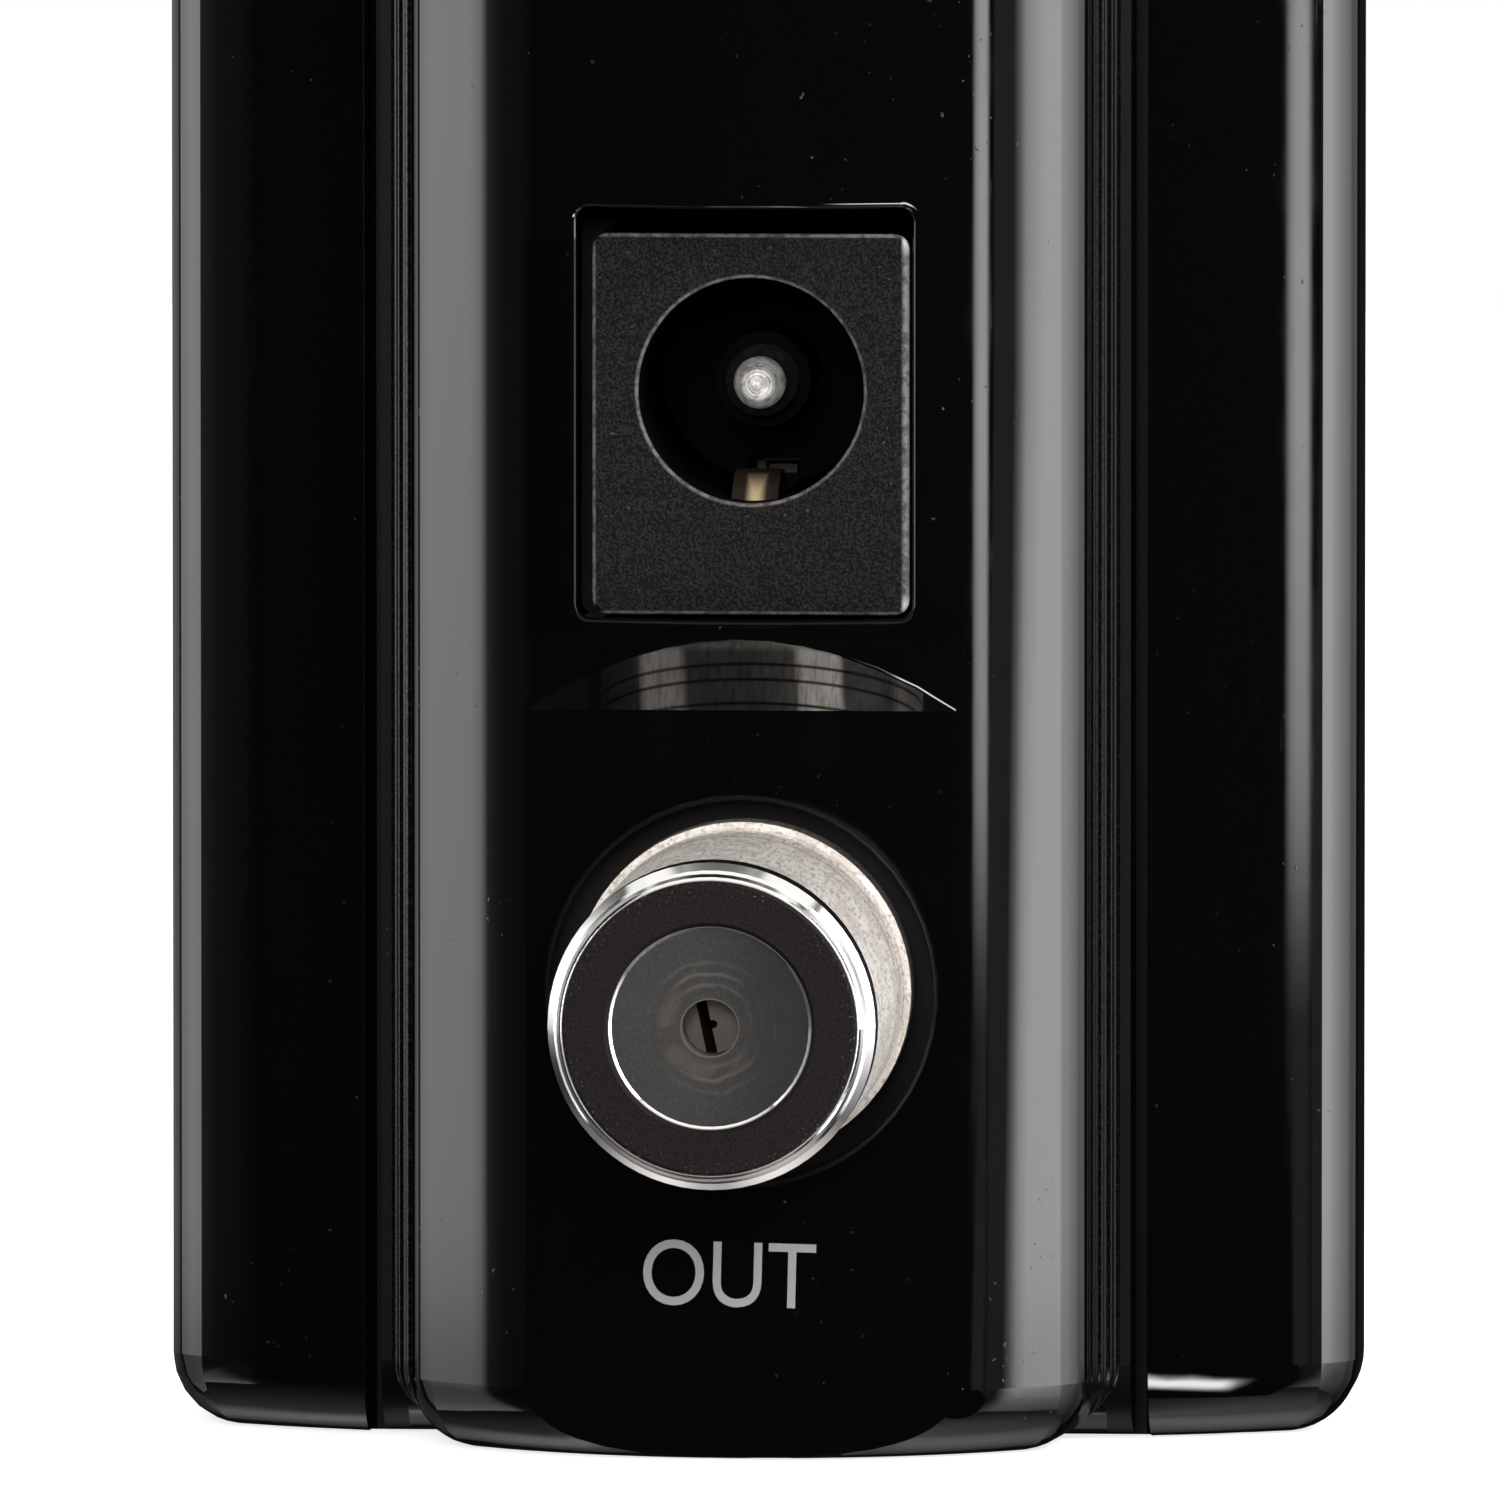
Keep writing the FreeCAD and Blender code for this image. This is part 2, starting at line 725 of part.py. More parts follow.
def make_jack_spring():
    """The sleeve contact: a leaf that bows into the bore from below."""
    x0 = jack_side_shift - jack_spring_width / 2
    top_z = jack_axis_z - jack_bore_radius
    foot_z = top_z - jack_spring_thickness
    start_y = jack_face_y + jack_spring_start
    end_y = start_y + jack_spring_bow_length
    middle_y = (start_y + end_y) / 2
    top_middle = V(x0, middle_y, top_z + jack_spring_bow_height)
    foot_middle = V(x0, middle_y, foot_z + jack_spring_bow_height)
    edges = [
        Part.Arc(V(x0, start_y, top_z), top_middle, V(x0, end_y, top_z)),
        Part.LineSegment(V(x0, end_y, top_z), V(x0, board_back_y, top_z)),
        Part.LineSegment(V(x0, board_back_y, top_z), V(x0, board_back_y, foot_z)),
        Part.LineSegment(V(x0, board_back_y, foot_z), V(x0, end_y, foot_z)),
        Part.Arc(V(x0, end_y, foot_z), foot_middle, V(x0, start_y, foot_z)),
        Part.LineSegment(V(x0, start_y, foot_z), V(x0, start_y, top_z)),
    ]
    leaf = filled_outline(edges).extrude(V(jack_spring_width, 0, 0))
    return joined([leaf, tail(spring_place)])


def make_jack_side_tag():
    """The third solder tag, on the side of the power socket."""
    inside = square_rod(tag_place, tail_side, board_back_y - jack_tag_length, board_back_y)
    return joined([inside, tail(tag_place)])


def make_aerial_barrel():
    """The plated barrel that the aerial plug pushes onto, with a grooved lip and a low collar."""
    face = aerial_face_y
    outer = aerial_barrel_radius
    bore = aerial_insulator_radius
    face_radius = outer - aerial_lip_width
    rim_radius = outer - aerial_lip_width / 2
    collar_y = shoulder_y - aerial_collar_length
    collar_radius = outer + aerial_collar_width
    shoulder_radius = aerial_hole_radius + aerial_shoulder_overlap
    profile = [
        (bore, shoulder_front_y),
        (bore, face + aerial_inner_chamfer),
        (bore + aerial_inner_chamfer, face),
        (face_radius, face),
        (rim_radius - aerial_lip_groove, face + aerial_lip_first_groove),
        (rim_radius, face + aerial_lip_crest),
        (rim_radius - aerial_lip_groove, face + aerial_lip_second_groove),
        (rim_radius + aerial_lip_groove, face + aerial_lip_swell),
        (outer, face + aerial_lip_length),
        (outer, collar_y),
        (collar_radius, collar_y),
        (collar_radius, shoulder_y),
        (shoulder_radius, shoulder_y),
        (shoulder_radius, shoulder_front_y),
    ]
    return turned(profile, 0, aerial_axis_height)


def make_aerial_insulator():
    """The plastic core that holds the centre contact."""
    face = aerial_face_y + aerial_inner_chamfer
    profile = [
        (aerial_centre_hole_radius, face),
        (aerial_insulator_radius, face),
        (aerial_insulator_radius, shoulder_front_y),
        (aerial_contact_radius, shoulder_front_y),
        (aerial_contact_radius, contact_tip_y),
        (aerial_centre_hole_radius, contact_tip_y),
    ]
    return turned(profile, 0, aerial_axis_height)


def make_aerial_contact():
    """The split tube that grips the plug's centre wire, and its solder tail."""
    z = aerial_axis_height
    profile = [
        (aerial_contact_bore, contact_tip_y),
        (aerial_contact_radius, contact_tip_y),
        (aerial_contact_radius, shoulder_front_y),
        (aerial_contact_bore, shoulder_front_y),
    ]
    tube = turned(profile, 0, z)
    half_slit = aerial_slit_width / 2
    reach = aerial_contact_radius * 2
    slit_end_y = contact_tip_y + aerial_slit_length
    slit = box(
        aerial_slit_shift - half_slit,
        aerial_slit_shift + half_slit,
        contact_tip_y - 1,
        slit_end_y,
        z - reach,
        z + reach,
    )
    slit.rotate(V(0, 0, z), V(0, 1, 0), -aerial_slit_turn)
    stem = rod(tail_side / 2, 0, z, shoulder_front_y, board_front_y + tail_length)
    plug = rod(aerial_contact_radius, 0, z, shoulder_front_y - 1, shoulder_front_y)
    return joined([tube.cut(slit), plug, stem])


def make_aerial_base():
    """The cast base block that holds the barrel off the board."""
    half = aerial_base_side / 2
    z = aerial_axis_height
    block = box(-half, half, shoulder_front_y, board_back_y, z - half, z + half)
    corners = [edge for edge in block.Edges if edge.BoundBox.YLength > match]
    block = block.makeFillet(aerial_base_corner, corners)
    block = block.cut(rod(aerial_insulator_radius, 0, z, shoulder_front_y - 1, board_back_y + 1))
    return joined([block] + [tail(place) for place in aerial_leg_places])


def make_shield_can():
    """A folded tinplate lid over the amplifier."""
    outer = on_board(-can_half_width, can_half_width, can_foot_z, can_top_z, can_depth)
    inner_x = can_half_width - can_wall
    inner = on_board(-inner_x, inner_x, can_foot_z + can_wall, can_top_z - can_wall, can_depth - can_wall)
    return outer.cut(inner)


def make_amplifier_chip():
    """The amplifier chip, in the middle of the shield can."""
    z = (can_foot_z + can_top_z) / 2
    half = chip_side / 2
    rows = 4
    pieces = [on_board(-half, half, z - half, z + half, chip_thickness)]
    for row in range(rows):
        lead_z = z - half + chip_side * (row + 0.5) / rows
        lead_foot = lead_z - chip_lead_width / 2
        lead = on_board(
            half, half + chip_lead_length, lead_foot, lead_foot + chip_lead_width, chip_lead_thickness
        )
        pieces += both_sides(lead)
    return joined(pieces)


def make_chip_components():
    """Small resistors and capacitors, all alike, beside the chip and the lower screw."""
    places = []
    columns = 3
    for column in range(columns):
        height = can_foot_z + can_length * (column + 1) / (columns + 1)
        places.append((can_half_width - component_inset, height))
    for rise in (-supply_component_rise, supply_component_rise):
        places.append((supply_component_x, lower_screw_z + rise))
    half_x = component_width / 2
    half_z = component_length / 2
    pieces = []
    for x, z in places:
        pieces += both_sides(on_board(x - half_x, x + half_x, z - half_z, z + half_z, component_thickness))
    return Part.makeCompound(pieces)


def make_regulator():
    """The supply regulator beside the smoothing capacitor."""
    x = -capacitor_x
    half_x = regulator_width / 2
    half_z = regulator_length / 2
    lead_top = capacitor_z - half_z + regulator_lead_length
    body_foot = lead_top - regulator_lead_thickness
    pieces = [on_board(x - half_x, x + half_x, body_foot, capacitor_z + half_z, regulator_thickness)]
    for column in (-1, 0, 1):
        left = x + column * regulator_lead_pitch - regulator_lead_width / 2
        right = left + regulator_lead_width
        foot = capacitor_z - half_z
        pieces.append(on_board(left, right, foot, lead_top, regulator_lead_thickness))
    return joined(pieces)


def make_smoothing_capacitor():
    """An upright can capacitor on its square base."""
    half = capacitor_base_side / 2
    x = capacitor_x
    z = capacitor_z
    foot_y = board_back_y - capacitor_base_height
    top_y = foot_y - capacitor_length
    base = on_board(x - half, x + half, z - half, z + half, capacitor_base_height)
    can = rod(capacitor_radius, x, z, top_y, foot_y)
    rim = [edge for edge in can.Edges if abs(edge.BoundBox.YMax - top_y) < match]
    return base.fuse(can.makeFillet(capacitor_rim, rim))


def make_input_choke():
    """A drum choke between the two sockets."""
    y0 = board_back_y - choke_depth
    profile = [
        (0, y0),
        (choke_radius, y0),
        (choke_radius, y0 + choke_flange),
        (choke_neck_radius, y0 + choke_flange),
        (choke_neck_radius, board_back_y - choke_flange),
        (choke_radius, board_back_y - choke_flange),
        (choke_radius, board_back_y),
        (0, board_back_y),
    ]
    return turned(profile, -choke_x, choke_z)


def make_balun_core():
    """A ferrite block with two holes, between the two radiators."""
    half = balun_width / 2
    block = on_board(-half, half, balun_z, balun_z + balun_length, balun_depth)
    hole_y = board_back_y - balun_depth / 2
    place = V(balun_hole_spacing / 2, hole_y, balun_z - 1)
    hole = Part.makeCylinder(balun_hole_radius, balun_length + 2, place, V(0, 0, 1))
    for cutter in both_sides(hole):
        block = block.cut(cutter)
    return block


def hairpin(foot_z, top_z, sense):
    """A wire hairpin through both holes, with its ends past the core's face."""
    x = balun_hole_spacing / 2
    y = board_back_y - balun_depth / 2 + sense * winding_radius * winding_spread
    bend_z = top_z if sense > 0 else foot_z
    end_z = foot_z if sense > 0 else top_z
    crown_z = bend_z + sense * x
    path = Part.Wire(
        [
            Part.LineSegment(V(-x, y, end_z), V(-x, y, bend_z)).toShape(),
            Part.Arc(V(-x, y, bend_z), V(0, y, crown_z), V(x, y, bend_z)).toShape(),
            Part.LineSegment(V(x, y, bend_z), V(x, y, end_z)).toShape(),
        ]
    )
    circle = Part.Wire(Part.makeCircle(winding_radius, V(-x, y, end_z), V(0, 0, 1)))
    return path.makePipeShell([circle], True, False)


def make_balun_windings():
    """Two enamelled wire hairpins, one from each side of the core."""
    foot_z = balun_z - winding_end
    top_z = balun_z + balun_length + winding_end
    return Part.makeCompound([hairpin(foot_z, top_z, 1), hairpin(foot_z, top_z, -1)])


def make_feed_cable():
    """The thin screened lead from the balun down to the amplifier."""
    y = board_back_y - copper_thickness - feed_cable_radius
    core_foot = can_top_z + feed_end_gap
    core_top = balun_z - winding_end - balun_hole_spacing / 2 - feed_end_gap
    foot = core_foot + feed_bare_end
    top = core_top - feed_bare_end
    up = V(0, 0, 1)
    jacket = Part.makeCylinder(feed_cable_radius, top - foot, V(feed_cable_x, y, foot), up)
    core = Part.makeCylinder(feed_core_radius, core_top - core_foot, V(feed_cable_x, y, core_foot), up)
    return jacket.fuse(core)


def make_power_led():
    """The supply lamp, on the front of the board."""
    half_x = led_width / 2
    half_z = led_length / 2
    return box(-half_x, half_x, board_front_y, board_front_y + led_depth, led_z - half_z, led_z + half_z)


def make_light_guide():
    """A clear plug that brings the lamp's light to the front."""
    flange_front = front_y - wall - light_guide_clearance
    flange_back = flange_front - light_guide_flange_length
    stem = rod(light_guide_radius, 0, led_z, flange_back, front_y - light_guide_clearance)
    flange = rod(light_guide_flange_radius, 0, led_z, flange_back, flange_front)
    return joined([stem, flange])


def make_housing_screws():
    """Pan-head screws through the bridges into the front's bosses."""
    head_y = ledge_y - screw_head_height
    slot_y = head_y + screw_slot_width
    half = screw_slot_width / 2
    reach = screw_slot_reach
    screws = []
    for height in screw_heights:
        shank = rod(screw_radius, 0, height, ledge_y - screw_clearance, ledge_y + screw_length)
        head = rod(screw_head_radius, 0, height, head_y, ledge_y)
        rim = [edge for edge in head.Edges if abs(edge.BoundBox.YMax - head_y) < match]
        head = head.makeFillet(screw_head_edge, rim)
        across = box(-reach, reach, head_y - 1, slot_y, height - half, height + half)
        upright = box(-half, half, head_y - 1, slot_y, height - reach, height + reach)
        screws.append(shank.fuse(head).cut(across).cut(upright).removeSplitter())
    return Part.makeCompound(screws)


pieces = {
    "front_shell": make_front_shell(),
    "back_frame": make_back_frame(),
    "spine_cover": make_spine_cover(),
    "main_board": make_main_board(),
    "lower_radiator": make_radiator(lower_radiator_z, lower_radiator_length),
    "upper_radiator": make_radiator(upper_radiator_z, upper_radiator_length),
    "power_socket_housing": make_jack_housing(),
    "power_socket_pin": make_jack_pin(),
    "power_socket_spring": make_jack_spring(),
    "power_socket_side_tag": make_jack_side_tag(),
    "aerial_socket_barrel": make_aerial_barrel(),
    "aerial_socket_insulator": make_aerial_insulator(),
    "aerial_socket_contact": make_aerial_contact(),
    "aerial_socket_base": make_aerial_base(),
    "shield_can": make_shield_can(),
    "amplifier_chip": make_amplifier_chip(),
    "chip_components": make_chip_components(),
    "voltage_regulator": make_regulator(),
    "smoothing_capacitor": make_smoothing_capacitor(),
    "input_choke": make_input_choke(),
    "balun_core": make_balun_core(),
    "balun_windings": make_balun_windings(),
    "feed_cable": make_feed_cable(),
    "power_led": make_power_led(),
    "light_guide": make_light_guide(),
    "ballast_bars": make_ballast_bars(),
    "housing_screws": make_housing_screws(),
}

os.makedirs("parts", exist_ok=True)
for name, shape in pieces.items():
    if not shape.isValid():
        print(name, "is not a valid solid")
    print(name, len(shape.Solids), round(shape.Volume, 2))
    shape.exportStep(os.path.join("parts", name + ".step"))
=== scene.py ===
import bmesh
import bpy
import math
from functools import cached_property
from mathutils import Matrix, Vector


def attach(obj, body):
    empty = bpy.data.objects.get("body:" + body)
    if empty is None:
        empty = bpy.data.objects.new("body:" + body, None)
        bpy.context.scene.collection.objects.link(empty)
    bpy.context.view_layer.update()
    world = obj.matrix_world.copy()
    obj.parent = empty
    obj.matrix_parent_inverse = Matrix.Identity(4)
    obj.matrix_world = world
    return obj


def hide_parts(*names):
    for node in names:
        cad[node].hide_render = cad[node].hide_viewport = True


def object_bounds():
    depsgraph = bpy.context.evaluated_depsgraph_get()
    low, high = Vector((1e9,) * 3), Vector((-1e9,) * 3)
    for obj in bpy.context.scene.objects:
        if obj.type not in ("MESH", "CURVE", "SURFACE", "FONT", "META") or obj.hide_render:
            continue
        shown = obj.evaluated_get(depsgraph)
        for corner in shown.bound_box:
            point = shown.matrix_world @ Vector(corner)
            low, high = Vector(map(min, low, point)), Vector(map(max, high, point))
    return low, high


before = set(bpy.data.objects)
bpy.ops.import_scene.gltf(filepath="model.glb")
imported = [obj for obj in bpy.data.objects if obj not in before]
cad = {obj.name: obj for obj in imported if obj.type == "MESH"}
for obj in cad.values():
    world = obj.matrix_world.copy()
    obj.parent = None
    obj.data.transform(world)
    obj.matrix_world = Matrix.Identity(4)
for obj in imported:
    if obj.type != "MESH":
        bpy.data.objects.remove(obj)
cad_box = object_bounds()

# Camera
# A long lens looks at the sockets from a little above and a little to the right.
# The aim is the middle of the photograph, measured from the middle of the bar's foot.
mm = 0.001
view_azimuth = math.radians(4.1)
view_elevation = math.radians(4.4)
photo_side = 1500
photo_pixels_per_mm = 35.0
foot_pixel = (761.0, 1432.6)
camera_distance = 1.0
sensor_width = 36.0

right = Vector((math.cos(view_azimuth), math.sin(view_azimuth), 0))
level_back = Vector((math.sin(view_azimuth), -math.cos(view_azimuth), 0))
back = level_back * math.cos(view_elevation) + Vector((0, 0, math.sin(view_elevation)))
up = back.cross(right)
aim_right = (photo_side / 2 - foot_pixel[0]) / photo_pixels_per_mm
aim_up = (foot_pixel[1] - photo_side / 2) / photo_pixels_per_mm
aim = (right * aim_right + up * aim_up) * mm

camera_data = bpy.data.cameras.new("camera")
camera_data.sensor_width = sensor_width
camera_data.lens = sensor_width * camera_distance / (photo_side / photo_pixels_per_mm * mm)
camera_data.clip_start = 0.05
camera_data.clip_end = 10.0
camera = bpy.data.objects.new("camera", camera_data)
camera.location = aim + back * camera_distance
camera.rotation_mode = "QUATERNION"
camera.rotation_quaternion = (-back).to_track_quat("-Z", "Y")
bpy.context.scene.collection.objects.link(camera)
bpy.context.scene.camera = camera
bpy.context.scene.view_settings.view_transform = "Standard"


# Studio
# A white floor in an open white room. Dark cloths hang all round and below, seen only by
# the gloss, with a tall soft lamp at each side, a narrow lamp strip and one low bare lamp.
def new_material(name):
    material = bpy.data.materials.new(name)
    material.use_nodes = True
    material.node_tree.nodes.clear()
    return material


def add_node(tree, kind, **values):
    node = tree.nodes.new(kind)
    for name, value in values.items():
        setattr(node, name, value)
    return node


class Field:
    """A value that varies over a piece. Arithmetic with it adds math nodes to its tree."""

    def __init__(self, socket):
        self.socket = socket
        self.tree = socket.id_data

    def __add__(self, other):
        return calc("ADD", self, other)

    def __sub__(self, other):
        return calc("SUBTRACT", self, other)

    def __rsub__(self, other):
        return calc("SUBTRACT", other, self)

    def __mul__(self, other):
        return calc("MULTIPLY", self, other)

    def __pow__(self, other):
        return calc("POWER", self, other)

    def __abs__(self):
        return calc("ABSOLUTE", self)


def feed(socket, value):
    """Links a socket to a field or to a node's output, or sets it to a value."""
    if isinstance(value, Field):
        value = value.socket
    if isinstance(value, bpy.types.NodeSocket):
        socket.id_data.links.new(value, socket)
    else:
        socket.default_value = value


def calc(operation, *values):
    """A math node. One of its values at least is a field."""
    tree = next(value.tree for value in values if isinstance(value, Field))
    node = add_node(tree, "ShaderNodeMath", operation=operation)
    for socket, value in zip(node.inputs, values):
        feed(socket, value)
    return Field(node.outputs[0])


def rise(value, low, high, start=0.0, end=1.0):
    """A soft step from start below low to end above high."""
    node = add_node(value.tree, "ShaderNodeMapRange", interpolation_type="SMOOTHSTEP")
    for socket, amount in zip(node.inputs, (value, low, high, start, end)):
        feed(socket, amount)
    return Field(node.outputs[0])


def fall(value, low, high):
    """A soft step from 1 below low to 0 above high."""
    return rise(value, low, high, 1.0, 0.0)


def place_parts(tree):
    """Object coordinates, whole and as X, Y and Z."""
    place = add_node(tree, "ShaderNodeTexCoord").outputs["Object"]
    parts = add_node(tree, "ShaderNodeSeparateXYZ")
    feed(parts.inputs[0], place)
    return [Field(socket) for socket in (place, *parts.outputs)]


def link_piece(name, form, material, smooth=False):
    mesh = bpy.data.meshes.new(name)
    form.to_mesh(mesh)
    form.free()
    mesh.materials.append(material)
    if smooth:
        mesh.shade_smooth()
    piece = bpy.data.objects.new(name, mesh)
    bpy.context.scene.collection.objects.link(piece)
    return piece


def glow_material(name, colour, strength):
    """An emission material. Strength is worked out by a function of the node tree."""
    material = new_material(name)
    tree = material.node_tree
    output = add_node(tree, "ShaderNodeOutputMaterial")
    glow = add_node(tree, "ShaderNodeEmission")
    glow.inputs["Color"].default_value = (*colour, 1)
    feed(glow.inputs["Strength"], strength(tree))
    feed(output.inputs["Surface"], glow.outputs[0])
    return material


def gloss_only(piece):
    """A stage piece that only reflections show."""
    piece.visible_camera = False
    piece.visible_diffuse = False
    piece.visible_shadow = False
    piece.visible_transmission = False


floor_size = 1.0
floor_drop = 0.00002
floor_white = 0.92
floor_camera_glow = 0.75
floor_material = new_material("studio_floor")
floor_tree = floor_material.node_tree
floor_output = add_node(floor_tree, "ShaderNodeOutputMaterial")
floor_matte = add_node(floor_tree, "ShaderNodeBsdfDiffuse")
floor_matte.inputs["Color"].default_value = (floor_white, floor_white, floor_white, 1)
floor_glow = add_node(floor_tree, "ShaderNodeEmission")
floor_sum = add_node(floor_tree, "ShaderNodeAddShader")
floor_path = add_node(floor_tree, "ShaderNodeLightPath")
floor_seen = Field(floor_path.outputs["Is Camera Ray"]) * floor_camera_glow
feed(floor_glow.inputs["Strength"], floor_seen)
feed(floor_sum.inputs[0], floor_matte.outputs[0])
feed(floor_sum.inputs[1], floor_glow.outputs[0])
feed(floor_output.inputs["Surface"], floor_sum.outputs[0])
floor_form = bmesh.new()
floor_place = Matrix.Translation((0, 0, -floor_drop))
bmesh.ops.create_grid(
    floor_form, x_segments=1, y_segments=1, size=floor_size / 2, matrix=floor_place
)
floor = link_piece("floor", floor_form, floor_material)
floor.visible_glossy = False

room_light_colour = (0.97, 0.98, 1.0, 1)
room_light_strength = 0.45
world = bpy.data.worlds.new("studio")
world.use_nodes = True
bpy.context.scene.world = world
room = world.node_tree
room.nodes.clear()
room_output = add_node(room, "ShaderNodeOutputWorld")
room_light = add_node(room, "ShaderNodeBackground")
room_white = add_node(room, "ShaderNodeBackground")
room_mix = add_node(room, "ShaderNodeMixShader")
room_path = add_node(room, "ShaderNodeLightPath")
feed(room_light.inputs["Color"], room_light_colour)
feed(room_light.inputs["Strength"], room_light_strength)
feed(room_white.inputs["Color"], (1, 1, 1, 1))
feed(room_white.inputs["Strength"], 1.0)
room_seen = Field(room_path.outputs["Is Camera Ray"])
for kind in ("Is Glossy Ray", "Is Transmission Ray"):
    room_seen = calc("MAXIMUM", room_seen, Field(room_path.outputs[kind]))
feed(room_mix.inputs["Fac"], room_seen)
feed(room_mix.inputs[1], room_light.outputs[0])
feed(room_mix.inputs[2], room_white.outputs[0])
feed(room_output.inputs["Surface"], room_mix.outputs[0])

cloth_radius = 0.42
cloth_low = -0.3
cloth_high = 0.45
cloth_glow = 0.012
ground_near = 0.05
ground_glow = (4.4, 0.7)
ground_stops = [
    (-180, 0.12),
    (-165, 0.15),
    (-150, 0.35),
    (-138, 0.35),
    (-118, 0.1),
    (-60, 0.06),
    (-30, 0.015),
    (15, 0.01),
    (28, 0.06),
    (50, 0.12),
    (78, 0.22),
    (110, 0.2),
    (126, 0.3),
    (150, 0.3),
    (180, 0.12),
]


def curved_panel(name, radius, start, end, low, high, steps, material):
    """A tall curved screen round the object. Angles are from -Y towards +X, in degrees."""
    form = bmesh.new()
    angle = math.radians(start)
    x = radius * math.sin(angle)
    y = -radius * math.cos(angle)
    edge = form.edges.new((form.verts.new((x, y, low)), form.verts.new((x, y, high))))
    bmesh.ops.spin(
        form,
        geom=[edge],
        cent=(0, 0, 0),
        axis=(0, 0, 1),
        angle=math.radians(end - start),
        steps=steps,
        use_merge=end - start >= 360,
    )
    gloss_only(link_piece(name, form, material))


def round_angle(x, y):
    """The angle round the object, from -Y towards +X, in degrees."""
    return calc("DEGREES", calc("ARCTAN2", x, y * -1))


def by_stops(value, stops):
    """A strength that changes with a value, by (value, strength) stops."""
    start = stops[0][0]
    end = stops[-1][0]
    peak = max(strength for _, strength in stops)
    spread = add_node(value.tree, "ShaderNodeMapRange")
    for socket, amount in zip(spread.inputs, (value, start, end)):
        feed(socket, amount)
    ramp = add_node(value.tree, "ShaderNodeValToRGB")
    for stop, _ in stops[1:-1]:
        ramp.color_ramp.elements.new((stop - start) / (end - start))
    for element, (_, strength) in zip(ramp.color_ramp.elements, stops):
        element.color = (strength / peak, strength / peak, strength / peak, 1)
    feed(ramp.inputs[0], spread.outputs[0])
    return Field(ramp.outputs[0]) * peak


def length_of(x, y):
    return calc("SQRT", x**2 + y**2)


def ground_strength(tree):
    """The ground is dark in front and light at both sides, and lightest near the object."""
    _, x, y, _ = place_parts(tree)
    light = by_stops(round_angle(x, y), ground_stops)
    return light * rise(length_of(x, y), ground_near, cloth_radius, *ground_glow)


cloth_material = glow_material("dark_cloth", (0.9, 0.95, 1.0), lambda tree: cloth_glow)
curved_panel("dark_cloth", cloth_radius, -180, 180, cloth_low, cloth_high, 72, cloth_material)
ground_form = bmesh.new()
ground_place = Matrix.Translation((0, 0, cloth_low))
bmesh.ops.create_circle(
    ground_form, cap_ends=True, segments=48, radius=cloth_radius, matrix=ground_place
)
ground_material = glow_material("dark_ground", (1.0, 0.95, 0.92), ground_strength)
gloss_only(link_piece("dark_ground", ground_form, ground_material))


def lamp_panel(name, radius, stops, fade, slant, colour):
    """A lamp whose light changes with the angle and the height. Its edges may lean."""

    def strength(tree):
        _, x, y, z = place_parts(tree)
        fallen = calc("MAXIMUM", slant_top - z, 0.0)
        lean = calc("MINIMUM", fallen * slant, slant_most)
        return by_stops(round_angle(x, y) + lean, stops) * by_stops(z, fade)

    start = stops[0][0] - (slant_most if slant else 0)
    material = glow_material(name, colour, strength)
    curved_panel(name, radius, start, stops[-1][0], panel_low, panel_high, 48, material)


slant_top = 0.0046
slant_most = 5.0
panel_low = -0.3
panel_high = 0.4
panel_radius = 0.41
strip_radius = 0.4
left_stops = [
    (-162, 0.0),
    (-155, 0.3),
    (-127, 0.5),
    (-124, 0.06),
    (-119.6, 0.1),
    (-118.2, 1.7),
    (-110, 2.1),
    (-92, 3.7),
    (-76, 4.0),
    (-72.8, 3.1),
    (-70.5, 0.35),
    (-67, 0.1),
    (-58, 0.0),
]
left_fade = [
    (-0.3, 0.4),
    (-0.2, 0.22),
    (-0.1, 0.19),
    (-0.036, 0.42),
    (-0.033, 0.66),
    (-0.0305, 0.82),
    (0.015, 1.0),
    (0.4, 1.0),
]
strip_stops = [
    (56.6, 0.12),
    (57.4, 5.0),
    (58.2, 6.6),
    (59.4, 6.6),
    (60.1, 0.25),
]
strip_fade = [(-0.3, 0.03), (-0.0196, 0.04), (-0.011, 0.7), (0.004, 1.0), (0.4, 1.0)]
right_stops = [
    (61, 0.0),
    (61.6, 0.28),
    (67.0, 0.25),
    (68.8, 1.9),
    (70.8, 5.2),
    (73.5, 7.4),
    (80, 7.3),
    (88, 5.6),
    (96, 4.2),
    (108, 2.7),
    (120, 1.6),
    (130, 0.6),
    (146, 0.4),
    (150, 0.0),
]
right_fade = [
    (-0.3, 0.14),
    (-0.17, 0.27),
    (-0.095, 0.5),
    (-0.0345, 0.78),
    (-0.031, 0.97),
    (0.0, 1.0),
    (0.4, 1.0),
]
lamp_panel("left_lamp_panel", panel_radius, left_stops, left_fade, 0.0, (1, 0.98, 0.97))
lamp_panel("lamp_strip", strip_radius, strip_stops, strip_fade, 0.0, (1, 1, 1))
lamp_panel("right_lamp_panel", panel_radius, right_stops, right_fade, 75.0, (0.99, 0.985, 1))

low_lamp_azimuth = 36.0
low_lamp_elevation = -27.0
low_lamp_tilt = -0.25
low_lamp_distance = 0.3
low_lamp_size = 0.26
low_lamp_light = 20.0
low_lamp_sides = (8, 19)
low_lamp_rows = (1.0, 12.0)
overhead_size = 0.6
overhead_light = 1.1
overhead_place = (0.05, -0.03, cloth_high - 0.01)


def facing(azimuth, elevation, distance):
    """A matrix for a flat panel that faces the origin from a direction, in degrees."""
    azimuth = math.radians(azimuth)
    elevation = math.radians(elevation)
    flat = math.cos(elevation)
    out = Vector((math.sin(azimuth) * flat, -math.cos(azimuth) * flat, math.sin(elevation)))
    turn = (-out).to_track_quat("-Z", "Y").to_matrix().to_4x4()
    return Matrix.Translation(out * distance) @ turn


